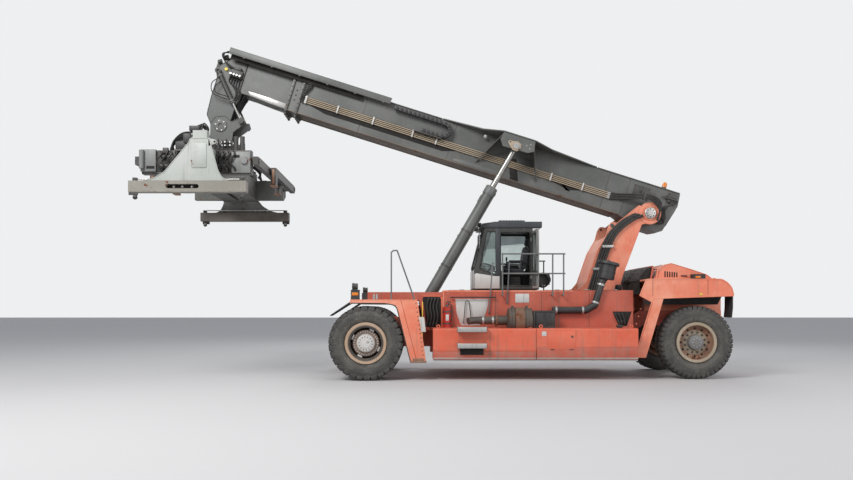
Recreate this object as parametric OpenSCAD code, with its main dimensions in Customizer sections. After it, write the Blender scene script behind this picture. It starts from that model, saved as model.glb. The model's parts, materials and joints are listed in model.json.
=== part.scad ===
// Reach stacker, standing with its boom half raised and an empty spreader.
// X runs from the spreader at the front to the counterweight at the rear,
// Y across the machine with its left side at negative Y, and Z up from the ground.

/* [Machine] */
// Distance between the front and rear axles
wheelbase = 7500; // [7300:20:7700]
// Half the width over the outer front tyres
half_width = 2075; // [2060:5:2140]
// Distance of the rear wheels' middles from the centre plane
rear_wheel_y = 1393; // [1380:5:1420]

/* [Tyres and rims] */
// Radius of every tyre
tyre_r = 835; // [800:5:850]
// Width of a front tyre
front_tyre_w = 520; // [480:5:540]
// Width of a rear tyre
rear_tyre_w = 490; // [460:5:510]
// Gap between the two tyres of a front pair
twin_gap = 60; // [30:5:90]
// Radius of the rim's outer flange
rim_r = 462; // [430:2:480]

/* [Boom] */
// Height of the boom's main pin
pivot_z = 3888; // [3850:5:3950]
// Distance of the boom's main pin behind the front axle
pivot_x = 6718; // [6690:5:6740]
// Angle of the boom above the level
boom_angle = 17.5; // [16:0.1:19]
// Width of the outer boom
boom_w = 730; // [700:5:760]
// Height of the outer boom
boom_h = 910; // [880:5:930]
// Wall of both boom sections
boom_wall = 20; // [12:1:30]
// Distance from the main pin to the outer boom's front end
boom_front = 9130; // [9000:10:9300]
// Distance from the main pin to the head pin, along the boom
head_along = 10507; // [10300:10:10700]

/* [Lift cylinders] */
// Distance of each lift cylinder from the centre plane
lift_y = 860; // [850:2:880]
// Radius of the barrel
lift_barrel_r = 130; // [120:1:135]
// Radius of the rod
lift_rod_r = 68; // [60:1:75]

/* [Cab] */
// Half the width of the cab
cab_half_w = 665; // [600:5:680]
// Height of the cab floor's underside
cab_floor_z = 2080; // [2060:5:2100]
// Height of the roof's top
cab_roof_z = 3670; // [3600:5:3700]

/* [Spreader] */
// Spacing of the lugs along X
lug_x = 2259; // [2240:1:2280]
// Spacing of the lugs along Y, as for a short container
lug_y = 5853; // [5800:1:5900]
// Height of the end beams' underside
end_beam_z = 4058; // [4030:1:4080]
// Height of an end beam
end_beam_h = 237; // [200:1:260]
// Width of an end beam along Y
end_beam_w = 240; // [200:5:260]

/* [Body] */
// Height of the upper deck
deck_z = 2030; // [2000:5:2050]
// Height of the ledge over the side tanks
ledge_z = 1164; // [1120:2:1200]
// Height of the side tanks' underside
skirt_z = 470; // [450:5:500]
// Half the width of the raised body between the ledges
body_half_w = 1280; // [1260:5:1300]

/* [Hidden] */

$fn = 48;
// Gap between two pieces that touch on the real machine
seat = 0.3;
// Gap between two pieces that slide or turn past each other
run = 6;
// Place of the front axle in the model's own frame
front_axle_x = -1620;
axle_z = tyre_r;

// Wheels
outer_tyre_y = half_width - front_tyre_w / 2;
inner_tyre_y = outer_tyre_y - front_tyre_w - twin_gap;
kingpin_y = rear_wheel_y - 203;
// Distance of the steering cylinder ahead of the rear axle
steer_x = 270;

// Rear ends of the side tanks and of the raised body, ahead of the rear wheels
tank_rear_x = wheelbase - 1440;
body_rear_x = wheelbase - 1360;

// Silencer on the left ledge
silencer_y = -body_half_w - 360;
silencer_z = 1340;
silencer_r = 278;

// Lift cylinder pins: lower one beside the front axle, upper one on the boom
lift_low_x = 1203;
lift_low_z = 1525;
lift_pin_r = 60;
// Middle of each ear beside the lower pin, from the cylinder's own middle, and its thickness
lift_ear_y = 135;
lift_ear_w = 36;
lift_top_along = 3555;
lift_top_n = 470;
lift_eye_r = 100;
lift_barrel_len = 3400;
// Lowest point of the rod above the lower pin, at rest
lift_rod_start = 1240;

// Boom heights above and below the line through the main pin
boom_bottom_n = -200;
boom_top_n = boom_bottom_n + boom_h;
pin_r = 90;
// Height of the lowest pipe on the boom's side, and the spacing of the four
pipe_low_n = 90;
pipe_step = 42;

// Door hinges on the cab's rear post
door_hinge_x = 3868;
door_hinge_y = -cab_half_w - 26;
door_hinge_z = [2350, 3250];

// Inner boom, inside the outer one with room for the pads
pad_gap = 34;
inner_w = boom_w - 2 * boom_wall - 2 * pad_gap;
inner_h = boom_h - 2 * boom_wall - 2 * pad_gap;
inner_bottom_n = boom_bottom_n + boom_wall + pad_gap;
inner_top_n = inner_bottom_n + inner_h;
inner_rear = 1100;
inner_front = 10300;

neck_y = 270;
// Depth of the slewing ring's upper half below the head pin
ring_drop = 440;
// Upper pins of the damping cylinders, as forward distance and height on the boom
damper_top = [10950, 193];
// Lower pins on the yoke's levers, rearwards and up from the head pin
damper_low = [508, 97];
damper_y = 390;
damper_rod_r = 30;

// Head pin, from which the spreader hangs
head_n = -1051;
head_x = boom_point(head_along, 0, head_n)[0];
head_z = boom_point(head_along, 0, head_n)[2];
head_pin_r = 55;

// Spreader
spread_x = head_x - 70;
sleeve_w = 416;
sleeve_h = 520;
sleeve_z = 4555;
sleeve_x = 262;
sleeve_wall = 20;
sleeve_y = 2350;
beam_gap = 8;
rail_h = 105;
leg_pin_y = 2180;
leg_pin_z = 4850;
leg_x = [1290, 1430];
leg_w = 120;
leg_pin_r = 50;
gable_y = lug_y / 2 + end_beam_w / 2;

// A point of the boom in the machine's frame, from its forward distance and its height over the pin's line
function boom_point(along, y, n) = [
    pivot_x - along * cos(boom_angle) + n * sin(boom_angle),
    y,
    pivot_z + along * sin(boom_angle) + n * cos(boom_angle)
];

// A flat plate with its outline in the XZ plane, its middle at y and its thickness along Y
module plate(outline, thick, y = 0) {
    translate([0, y + thick / 2, 0])
        rotate([90, 0, 0])
            linear_extrude(thick)
                polygon(outline);
}

// A block from its lowest to its highest corner
module block(low, high) {
    translate(low)
        cube(high - low);
}

// A round bar along Y, with its middle at y
module cross_bar(r, length, x, z, y = 0) {
    translate([x, y + length / 2, z])
        rotate([90, 0, 0])
            cylinder(r = r, h = length);
}

// A round bar from one point to another
module bar(a, b, r) {
    d = b - a;
    length = norm(d);
    translate(a)
        rotate([0, acos(d[2] / length), atan2(d[1], d[0])])
            cylinder(r = r, h = length);
}

// A bent tube through a list of points, with a ball at each bend
module tube(points, r) {
    for (i = [0 : len(points) - 2]) {
        bar(points[i], points[i + 1], r);
    }
    for (i = [1 : len(points) - 2]) {
        translate(points[i])
            sphere(r = r * 1.02);
    }
}

// Its children on the left side and mirrored on the right side
module both_sides() {
    children();
    mirror([0, 1, 0])
        children();
}

// Its children placed with X measured rearwards from the front axle
module from_axle() {
    translate([front_axle_x, 0, 0])
        children();
}

// Its children placed with -X forwards along the boom and Z square to it, from the main pin
module in_boom() {
    from_axle()
        translate([pivot_x, 0, pivot_z])
            rotate([0, boom_angle, 0])
                children();
}

// A plate in the boom's frame, its outline given as forward distance and height
module boom_plate(outline, thick, y = 0) {
    plate([for (p = outline) [-p[0], p[1]]], thick, y);
}

// A point of the boom's frame, as forward distance, sideways distance and height
function on_boom(along, y, n) = [-along, y, n];

// Main frame: two box beams that step up over both axles, and what crosses them
module chassis_frame() {
    beam_in = 400;
    beam_out = 530;
    low_z = 700;
    front_low_z = 1110;
    top_z = 1400;
    rear_low_z = 1200;
    rear_top_z = 1560;
    step_x = 6200;
    arch_x = wheelbase - 960;
    // Outlines of the straight stretches of a beam, which meet at its steps
    stretches = [
        [[-470, front_low_z], [560, front_low_z], [560, top_z], [-470, top_z]],
        [[560 + seat, front_low_z], [820, low_z], [6050, low_z], [step_x, 853], [step_x, top_z], [560 + seat, top_z]],
        [[step_x + seat, 853], [arch_x, rear_low_z], [arch_x, rear_top_z], [step_x + 300, rear_top_z], [step_x + seat, top_z]],
        [[arch_x + seat, rear_low_z], [wheelbase + 760, rear_low_z], [wheelbase + 760, rear_top_z],
            [arch_x + seat, rear_top_z]]
    ];
    // Columns: middle along X, lowest Z, highest Z, half the length along X
    cross_members = [
        [-380, 1130, 1380, 90],
        [2200, 760, 1100, 80],
        [3900, 760, 1100, 80],
        [5300, 760, 1240, 120],
        [wheelbase - 620, 1240, 1480, 90],
        [wheelbase + 620, 1240, 1540, 90]
    ];
    // Columns: middle along X, lowest Z, highest Z of each bracket that carries a side tank
    outriggers = [[1750, 860, 1060], [3300, 860, 1060], [4800, 860, 1060], [5850, 860, 1060]];
    ear_foot_z = 1250;
    ear_r = 150;
    color("tomato")
        from_axle() {
            both_sides() {
                for (s = stretches) {
                    plate(s, beam_out - beam_in, -(beam_in + beam_out) / 2);
                }
                for (o = outriggers) {
                    block([o[0] - 60, -body_half_w, o[1]], [o[0] + 60, -beam_out - seat, o[2]]);
                }
                // Two ears with the lift cylinder's lower pin, on a bracket at the side of the beam
                for (y = [lift_y - lift_ear_y, lift_y + lift_ear_y]) {
                    plate(concat(
                        [[960, ear_foot_z + seat], [1420, ear_foot_z + seat]],
                        [for (a = [0 : 15 : 180]) [lift_low_x + ear_r * cos(a), lift_low_z + ear_r * sin(a)]]
                    ), lift_ear_w, -y);
                }
                cross_bar(lift_pin_r, 2 * lift_ear_y + 100, lift_low_x, lift_low_z, -lift_y);
                block([960, -lift_y - 153, 1040], [1420, -beam_out - seat, ear_foot_z]);
                block([1000, -body_half_w - 10 + seat, 1140], [1100, -lift_y - 153 - seat, 1220]);
            }
            for (c = cross_members) {
                block([c[0] - c[3], -beam_in + seat, c[1]], [c[0] + c[3], beam_in - seat, c[2]]);
            }
        }
}

// Drive axle: banjo housing, two arms, brake drums and the spindles inside the hubs
module front_axle() {
    color("dimgray")
        from_axle() {
            translate([0, 0, axle_z])
                sphere(r = 330);
            translate([-300, 0, axle_z])
                rotate([0, -90, 0])
                    cylinder(r = 150, h = 120);
            cross_bar(190, 2 * (inner_tyre_y - 420), 0, axle_z);
            both_sides() {
                cross_bar(275, 170, 0, axle_z, -(inner_tyre_y - 400));
                cross_bar(120, 420, 0, axle_z, -(inner_tyre_y - 160));
                block([-230, -520, axle_z + 100], [230, -410, 1110 - seat]);
            }
        }
}

// Mudguards over the front pairs: a deck plate, a slanted rear post and an outer flange
module front_fenders() {
    post_front = [[683, 1673], [997, 419]];
    color("salmon")
        from_axle()
            both_sides() {
                // Outer flange and post, seen from the side
                plate([
                    [-340, 1725], [-340, 1800], [1150, 1800], [1346, 419], [997, 419], [683, 1673], [450, 1722]
                ], 40, -2020);
                // Deck over the wheels
                block([-340, -2001, 1772], [1140, -1258, 1800]);
                // Guard behind the wheels
                plate([[700, 1771], [740, 1771], [1050, 419], [1015, 419], [690, 1700]], 700, -1651);
                // Wall on the inner side of the wheels
                plate([[700, 1772], [1140, 1772], [1300, 700], [1000, 700]], 20, -1300);
            }
}

// Rubber flaps in front of the fenders
module fender_flaps() {
    color("black")
        from_axle()
            both_sides()
                plate([[-800, 1440], [-780, 1470], [-345, 1762], [-340 - seat, 1762], [-340 - seat, 1728]], 700, -1660);
}

// Section of a side tank, with its ledge, its crease and its tucked-in foot
module tank_section(x0, x1) {
    translate([x1, 0, 0])
        rotate([90, 0, -90])
            linear_extrude(x1 - x0)
                polygon([
                    [body_half_w + seat, ledge_z], [1990, ledge_z], [2030, ledge_z - 40], [2030, 700],
                    [1990, skirt_z], [body_half_w + seat, skirt_z]
                ]);
}

// Tanks and lockers along both sides, closed boxes under the ledge
module side_tanks() {
    seam_x = 3800;
    color("coral")
        from_axle()
            difference() {
                both_sides() {
                    tank_section(1500, seam_x - 4);
                    tank_section(seam_x + 4, tank_rear_x);
                    block([seam_x - 5, -1900, skirt_z + 60], [seam_x + 5, -1310, ledge_z - 60]);
                }
                // Hollow on the left side in which the silencer lies
                translate([3150, silencer_y, silencer_z])
                    rotate([0, 90, 0])
                        cylinder(r = silencer_r + 14 + seat, h = 640);
            }
}

// Pale strips along the foot of the tanks
module side_sills() {
    color("silver")
        from_axle()
            both_sides()
                block([1500, -1992, skirt_z - 32], [tank_rear_x, -1880, skirt_z - seat]);
}

// Raised body between the ledges: side panels, deck plates and end walls
module upper_body() {
    panel = 24;
    fender_z = 1800;
    front_z = 1987;
    front_x = 1800;
    tower_x = 4780;
    rear_x = body_rear_x;
    inner_y = body_half_w - panel - seat;
    color("lightsalmon")
        from_axle() {
            both_sides() {
                plate([
                    [0, fender_z + seat], [0, front_z], [1700, front_z], [1760, deck_z], [rear_x, deck_z],
                    [rear_x, ledge_z - 60], [1345, ledge_z - 60], [1190, fender_z + seat]
                ], panel, -body_half_w + panel / 2);
                // Deck beside the tower
                block([tower_x + seat, -inner_y, deck_z - panel], [rear_x, -720, deck_z]);
                // Beam along the inner edge of the fender
                block([0, -inner_y, 1860], [front_x - seat, -1150, front_z]);
            }
            block([front_x, -inner_y, deck_z - panel], [tower_x, inner_y, deck_z]);
            block([front_x, -inner_y, 1400 + seat], [front_x + panel, inner_y, deck_z - panel - seat]);
        }
}

// Tower of two plates that carries the boom's main pin
module boom_tower() {
    plate_y = 585;
    thick = 50;
    foot_z = 1440;
    inner_y = plate_y - thick / 2 - seat;
    color("lightsalmon")
        from_axle() {
            both_sides() {
                difference() {
                    union() {
                        plate([
                            [4700, foot_z + seat], [4700, 1940], [4880, 2010], [5080, 2080], [5205, 2230], [5464, 2977],
                            [5662, 3315], [5730, 3560], [5790, 3655], [5860, 3660], [5930, 3640], [6480, 4080],
                            [6900, 3700], [6515, 3633], [6395, 3296], [6077, 2441], [6010, 2210], [6060, 2060],
                            [6170, 1940], [6350, 1880], [6350, 1565], [6189, foot_z + seat]
                        ], thick, -plate_y);
                        cross_bar(265, thick, pivot_x, pivot_z, -plate_y);
                        cross_bar(170, thick + 30, pivot_x, pivot_z, -plate_y - 15);
                    }
                    cross_bar(pin_r + seat, 200, pivot_x, pivot_z, -plate_y);
                    cross_bar(28, 200, 5813, 3597, -plate_y);
                }
                // Foot on the main frame
                block([4700, -plate_y - 20, 1400 + seat], [6150, -405, foot_z]);
            }
            // Front plates between the two
            plate([[5205, 2230 + seat], [5464, 2977], [5492, 2965], [5235, 2230 + seat]], 2 * inner_y);
            plate([[5464 + seat, 2977 + seat], [5662, 3315], [5690, 3300], [5492 + seat, 2965 + seat]], 2 * inner_y);
            plate([[5120, foot_z + seat], [5205, 2230], [5235, 2230], [5150, foot_z + seat]], 2 * inner_y);
        }
}

// Main pin of the boom, with its end caps
module boom_pin() {
    color("silver")
        from_axle() {
            cross_bar(pin_r, 1300, pivot_x, pivot_z);
            both_sides()
                cross_bar(130, 14, pivot_x, pivot_z, -650);
        }
}

// Steering axle: a beam that hangs under the frame, with the kingpin forks at its ends
module rear_axle() {
    beam_low = -190;
    beam_top = 170;
    fork_y = kingpin_y - 190;
    cylinder_half = 450;
    color("dimgray")
        from_axle()
            translate([wheelbase, 0, axle_z]) {
                block([-150, -fork_y + seat, beam_low], [150, fork_y - seat, beam_top]);
                block([-240, -500, beam_top + seat], [240, 500, 1200 - axle_z - seat]);
                both_sides()
                    translate([0, -kingpin_y, 0]) {
                        for (z = [beam_low, 120]) {
                            translate([0, 0, z])
                                cylinder(r = 85, h = 60);
                            block([-85, 0, z], [85, 190, z + 60]);
                        }
                        translate([0, 0, beam_low])
                            cylinder(r = 38, h = 370);
                    }
                // Cylinder that steers, with its two brackets on the beam
                difference() {
                    cross_bar(70, 2 * cylinder_half, -steer_x, 0);
                    cross_bar(30 + seat, 2 * cylinder_half + 2, -steer_x, 0);
                }
                both_sides()
                    block([-steer_x + 70 + seat, -330, -60], [-150 - seat, -290, 60]);
            }
}

// Counterweight, rear fenders and the covers over the engine, one body at the rear
module counterweight() {
    half_y = 540;
    shell_z = 2240;
    top_z = 2277;
    side_in = 1580;
    color("salmon")
        from_axle()
            translate([wheelbase, 0, 0]) {
                // Cast weight between and behind the wheels, with room for the engine at its front
                block([-300, -half_y, 1560 + seat], [940, half_y, shell_z]);
                block([-900, -half_y, 2160], [-300 - seat, half_y, shell_z]);
                both_sides()
                    block([-900, -half_y, 1560 + seat], [-300 - seat, -400, 2160 - seat]);
                block([780, -560, 760], [940, 560, 1560]);
                // Fenders over both wheels: side plate, front wall, top and curved rear
                both_sides() {
                    plate([
                        [-1300, 1894], [-1150, top_z], [560, top_z], [700, 2190], [790, 2080], [830, 1900], [-760, 1840],
                        [-1160, 490], [-1400, 490], [-1010, 1740]
                    ], 60, -side_in - 30);
                    block([-1150, -side_in + seat, shell_z + seat], [550, -560, top_z]);
                    for (s = [
                        [[550 + seat, shell_z], [550 + seat, top_z], [560, top_z], [700, 2190], [680, 2160]],
                        [[680, 2160 - seat], [700, 2190 - seat], [790, 2080], [760, 2070]],
                        [[760, 2070 - seat], [790, 2080 - seat], [830, 1900], [800, 1900]]
                    ]) {
                        plate(s, side_in - 560 - seat, -(side_in - seat + 560) / 2);
                    }
                }
                block([-900, -560 + seat, shell_z + seat], [550, 560 - seat, top_z]);
                // Covers over the engine
                plate([
                    [-840, top_z + seat], [-600, 2605], [-430, 2660], [80, 2504], [410, 2392], [560, top_z + seat]
                ], 2200);
            }
}

// Cooler between the tower and the rear covers
module radiator() {
    color("black")
        from_axle()
            translate([wheelbase, 0, 0])
                plate([
                    [-1300, 1945], [-1175, 2277], [-1000, 2500], [-860, 2590], [-845, 2277 + seat],
                    [-1150 - seat, 2277 + seat], [-1150 - seat, 1945]
                ], 2160);
}

// The diesel engine, a plain block inside the body
module engine_block() {
    color("gray")
        from_axle()
            block([5270, -330, 1240 + seat], [body_rear_x, 330, 1940]);
}

// Silencer and its pipe on the left ledge
module exhaust() {
    // Columns: start along X, radius, length of each round stretch, with the straps last
    stretches = [[3210, silencer_r, 520], [2950, 110, 265], [2570, 90, 385], [3280, silencer_r + 14, 50],
        [3600, silencer_r + 14, 50]];
    color("dimgray")
        from_axle()
            for (s = stretches) {
                translate([s[0], silencer_y, silencer_z])
                    rotate([0, 90, 0])
                        cylinder(r = s[1], h = s[2]);
            }
}

// Air pipe along the left ledge up to the cleaner with its cap
module air_intake() {
    y = -body_half_w - 90;
    pipe_r = 80;
    pipe_z = 1570;
    bend_x = 5030;
    box_end = 4260;
    color("black")
        from_axle() {
            tube([[box_end + seat, y, pipe_z], [bend_x, y, pipe_z], [5230, y, 1680], [5400, y, 2220], [5480, y, 2330]], pipe_r);
            translate([5480, y, 2290])
                rotate([0, 12, 0]) {
                    cylinder(r = 190, h = 330);
                    translate([0, 0, 330])
                        cylinder(r = 230, h = 60);
                }
            // Air filter's box on the ledge
            block([3790, y - 380, ledge_z + seat], [box_end, y + 70, pipe_z - 10]);
        }
}

// Handrails on the fender and along the deck
module deck_rails() {
    r = 17;
    rail_y = -body_half_w - 190;
    color("gray")
        from_axle() {
            // Inverted U on the left fender
            tube([[570, -1990, 1800 + seat], [570, -1990, 2860], [620, -1990, 2900], [700, -1990, 2900], [1084, -1990, 1812]], r);
            both_sides() {
                tube([[3080, rail_y, 2860], [4540, rail_y, 2860]], r);
                tube([[3080, rail_y, 2410], [4540, rail_y, 2410]], r);
                for (x = [3100, 4250, 4500]) {
                    bar([x, rail_y, 1900], [x, rail_y, 2860], r);
                    bar([x, rail_y + r + seat, 1920], [x, -body_half_w - seat, 1920], r);
                }
            }
        }
}

// Steps up the left side, with their grab rods
module access_steps() {
    color("lightgray")
        from_axle() {
            for (z = [840, 1200]) {
                block([2030, -2240, z - 110], [2680, -2030 - seat, z - 80]);
                block([2030, -2240, z - 110], [2680, -2220, z]);
            }
        }
}

// Fire extinguisher on the left side
module extinguisher() {
    color("firebrick")
        from_axle()
            translate([1835, -body_half_w - 120, ledge_z + seat]) {
                cylinder(r = 95, h = 480);
                translate([0, 0, 479])
                    cylinder(r = 35, h = 91);
            }
}

// Head lamps on the fenders and tail lamps on the rear covers
module deck_lamps() {
    color("black")
        from_axle() {
            both_sides() {
                block([-330, -1980, 1800 + seat], [-140, -1860, 2020]);
                translate([-180, -1920, 2100])
                    rotate([0, -90, 0])
                        cylinder(r = 70, h = 90);
                cross_bar(20, 60, -225, 2040, -1920);
                block([wheelbase - 10, -1400, 2277 + seat], [wheelbase + 270, -1200, 2400]);
            }
        }
}

// Hoses strapped up the tower to the main pin
module tower_hoses() {
    // Columns: place along X, height
    route = [[5170, 1450], [5310, 1960], [5470, 2510], [5650, 3060], [5900, 3420], [6400, 3800]];
    color("black")
        from_axle()
        {
            for (i = [0 : 3]) {
                tube([for (p = route) [p[0] - 100 + i * 62, -660, p[1] - i * 8]], 28);
            }
            // Clamps that hold them to the tower's plate
            for (p = [route[2], route[3]]) {
                block([p[0] - 140, -700, p[1] - 30], [p[0] + 130, -610 - seat, p[1] + 10]);
            }
        }
}

// Outline of the cab seen from the side, grown inwards by a wall
module cab_outline(wall) {
    polygon([
        [2510 + wall, cab_floor_z + wall], [2510 + wall, cab_floor_z + 420], [2770 + wall, cab_roof_z - 130 - wall],
        [4060 - wall, cab_roof_z - 130 - wall], [4060 - wall, cab_floor_z + wall]
    ]);
}

// Cab walls and roof, hollow, with the windows and the doorway cut out
module cab_shell() {
    wall = 50;
    color("lightgray")
        from_axle() {
            difference() {
                translate([0, cab_half_w, 0])
                    rotate([90, 0, 0])
                        linear_extrude(2 * cab_half_w)
                            cab_outline(0);
                translate([0, cab_half_w - wall, 0])
                    rotate([90, 0, 0])
                        linear_extrude(2 * cab_half_w - 2 * wall)
                            cab_outline(wall);
                // Windscreen, rear window, side windows and doorway
                block([2400, -cab_half_w + 90, cab_floor_z + 470], [2850, cab_half_w - 90, cab_roof_z - 210]);
                block([3900, -cab_half_w + 90, cab_floor_z + 500], [4100, cab_half_w - 90, cab_roof_z - 210]);
                plate([[2640, 2560], [2830, 3440], [3020, 3440], [3020, 2420]], 200, -cab_half_w);
                plate([[3135, 2140], [3135, 3440], [3846, 3440], [3846, 2140]], 200, -cab_half_w);
                plate([[2640, 2560], [2830, 3440], [3900, 3440], [3900, 2560]], 200, cab_half_w);
            }
            // Roof, thicker than the walls, with its overhang
            plate([
                [2640, cab_roof_z - 131], [2700, cab_roof_z - 40], [3000, cab_roof_z], [4120, cab_roof_z],
                [4120, cab_roof_z - 131]
            ], 2 * cab_half_w + 40);
            // Runners under the cab
            both_sides()
                block([2560, -520, deck_z + seat], [4000, -440, cab_floor_z + 1]);
            // Unit behind the cab
            block([4059, -500, 2180], [4340, -120, 2460]);
            // Door hinges: a pin on two lugs at each height
            for (z = door_hinge_z) {
                translate([door_hinge_x, door_hinge_y, z - 60])
                    cylinder(r = 12, h = 120);
                for (end = [-60, 40]) {
                    block([door_hinge_x - 12, door_hinge_y, z + end], [door_hinge_x + 12, -cab_half_w + 1, z + end + 20]);
                }
            }
        }
}

// Driver's seat on its pedestal
module cab_seat() {
    color("black")
        from_axle() {
            block([3330, -200, cab_floor_z + 50 + seat], [3700, 200, 2421]);
            block([3250, -260, 2420], [3780, 260, 2560]);
            plate([[3660, 2560], [3780, 2560], [3900, 3200], [3800, 3260], [3740, 3200]], 480);
        }
}

// Console with the steering wheel and the screen
module cab_console() {
    color("black")
        from_axle() {
            plate([[2600, cab_floor_z + 50 + seat], [2850, cab_floor_z + 50 + seat], [2915, 2560], [2860, 2640], [2780, 2600]], 260);
            translate([2960, 0, 2690])
                rotate([0, 30, 0])
                    rotate_extrude()
                        translate([190, 0])
                            circle(r = 16);
            translate([2960, 0, 2690])
                rotate([0, 30, 0])
                    translate([0, 0, -108])
                        cylinder(r = 25, h = 123);
            translate([2960, 0, 2690])
                rotate([0, 30, 0])
                    cube([380, 30, 16], center = true);
        }
}

// Door, standing open square to the cab's left side
module cab_door() {
    reach = 740;
    thick = 45;
    color("gray")
        from_axle()
            translate([door_hinge_x, door_hinge_y, 0])
                difference() {
                    union() {
                        difference() {
                            block([14, -reach, 2145], [14 + thick, -10, 3435]);
                            block([0, -reach + 60, 2480], [100, -70, 3370]);
                        }
                        for (z = door_hinge_z) {
                            translate([0, 0, z - 40 + seat])
                                cylinder(r = 22, h = 80 - 2 * seat);
                            block([0, -40, z - 40 + seat], [20, -12, z + 40 - seat]);
                        }
                    }
                    for (z = door_hinge_z) {
                        translate([0, 0, z - 70])
                            cylinder(r = 12 + seat, h = 140);
                    }
                }
}

// Section of a tyre: tread, rounded shoulders, bulged walls and bead
module tyre_section(w) {
    shoulder = 70;
    bead_w = w - 70;
    polygon(concat(
        [[rim_r - 8, -bead_w / 2], [rim_r + 120, -w / 2], [tyre_r - 160, -w / 2]],
        [for (a = [-90 : 30 : 0])
            [tyre_r - shoulder + shoulder * cos(a), -(w / 2 - 20 - shoulder) + shoulder * sin(a)]],
        [for (a = [0 : 30 : 90])
            [tyre_r - shoulder + shoulder * cos(a), (w / 2 - 20 - shoulder) + shoulder * sin(a)]],
        [[tyre_r - 160, w / 2], [rim_r + 120, w / 2], [rim_r - 8, bead_w / 2]]
    ));
}

// A tyre with its axis along Y
module tyre(w, y) {
    translate([0, y, axle_z])
        rotate([90, 0, 0])
            rotate_extrude()
                tyre_section(w);
}

// A front pair of tyres on the left side
module front_tyre_pair() {
    tyre(front_tyre_w, -outer_tyre_y);
    tyre(front_tyre_w, -inner_tyre_y);
}

// The rims and the hub of a front pair, with the hub reduction's cap
module front_rim_pair() {
    bead = rim_r - 8 - seat;
    translate([0, 0, axle_z])
        rotate([90, 0, 0])
            rotate_extrude()
                polygon([
                    [120 + seat, inner_tyre_y - 200], [bead - 40, inner_tyre_y - 200], [bead - 40, inner_tyre_y - 225],
                    [bead, inner_tyre_y - 225], [bead, inner_tyre_y + 225], [bead, outer_tyre_y + 225],
                    [bead - 90, outer_tyre_y + 225], [bead - 110, outer_tyre_y + 180],
                    [bead - 110, outer_tyre_y - 60], [290, outer_tyre_y - 90], [290, outer_tyre_y + 60],
                    [195, outer_tyre_y + 70], [185, outer_tyre_y + 190], [160, outer_tyre_y + 215],
                    [0, outer_tyre_y + 225], [0, inner_tyre_y + 60], [120 + seat, inner_tyre_y + 60]
                ]);
}

// The rim of a rear wheel with its disc, bolts and hub
module rear_rim() {
    bead = rim_r - 8 - seat;
    translate([0, 0, axle_z])
        rotate([90, 0, 0])
            translate([0, 0, rear_wheel_y])
                rotate_extrude()
                    polygon([
                        [60 + seat, -90], [300, -90], [300, 20], [bead - 60, 40], [bead - 60, -215],
                        [bead, -215], [bead, 215], [bead - 30, 215], [bead - 60, 90], [280, 60],
                        [170, 60], [150, 190], [110, 215], [0, 215], [0, 110], [60 + seat, 110]
                    ]);
}

module front_tyres_left() {
    color("dimgray")
        from_axle()
            front_tyre_pair();
}

module front_tyres_right() {
    color("dimgray")
        from_axle()
            mirror([0, 1, 0])
                front_tyre_pair();
}

module front_rims_left() {
    color("tan")
        from_axle()
            front_rim_pair();
}

module front_rims_right() {
    color("tan")
        from_axle()
            mirror([0, 1, 0])
                front_rim_pair();
}

module rear_tyre_left() {
    color("dimgray")
        from_axle()
            translate([wheelbase, 0, 0])
                tyre(rear_tyre_w, -rear_wheel_y);
}

module rear_tyre_right() {
    color("dimgray")
        from_axle()
            translate([wheelbase, 0, 0])
                tyre(rear_tyre_w, rear_wheel_y);
}

module rear_rim_left() {
    color("sienna")
        from_axle()
            translate([wheelbase, 0, 0])
                rear_rim();
}

module rear_rim_right() {
    color("sienna")
        from_axle()
            translate([wheelbase, 0, 0])
                mirror([0, 1, 0])
                    rear_rim();
}

// Knuckle that turns about the kingpin and carries a rear wheel
module knuckle() {
    translate([wheelbase, -kingpin_y, axle_z])
        difference() {
            union() {
                translate([0, 0, -130 + seat])
                    cylinder(r = 85, h = 250 - 2 * seat);
                cross_bar(60, 300, 0, 0, -150);
                cross_bar(110, 72, 0, 0, -76.7);
            }
            translate([0, 0, -131])
                cylinder(r = 38 + seat, h = 260);
        }
    // Arm that the steering rod moves
    translate([wheelbase, -kingpin_y, axle_z])
        block([-steer_x, -30, -75], [-85 - seat, 30, -35]);
}

module knuckle_left() {
    color("gray")
        from_axle()
            knuckle();
}

module knuckle_right() {
    color("gray")
        from_axle()
            mirror([0, 1, 0])
                knuckle();
}

// Rod that slides across inside the steering cylinder
module steering_rod() {
    color("silver")
        from_axle()
            cross_bar(30, 1800, wheelbase - steer_x, axle_z);
        from_axle()
            both_sides()
                bar([wheelbase - steer_x, -860, axle_z], [wheelbase - steer_x + 45, -kingpin_y + 20, axle_z], 22);
}

// A three-cornered gusset across the boom's left side, from the wing's top to the boom's lower edge
module gusset(top, foot, reach) {
    slant = atan2(top[0] - foot[0], top[1] - foot[1]);
    length = norm(top - foot);
    inner = -boom_w / 2 - seat;
    difference() {
        translate([-foot[0], 0, foot[1]])
            rotate([0, -slant, 0])
                rotate([0, -90, 0])
                    linear_extrude(20)
                        polygon([[0, inner], [0, inner - 20], [length, -reach + 40], [length, inner]]);
        // Gap for the pipes
        block([-foot[0] - 500, inner - 85, pipe_low_n - 40], [-top[0] + 500, inner + 1, pipe_low_n + 3 * pipe_step + 40]);
        // Its top end, level under the wing
        block([-foot[0] - 500, -reach - 1, boom_top_n], [-top[0] + 500, inner + 1, boom_top_n + 100]);
    }
}

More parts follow.
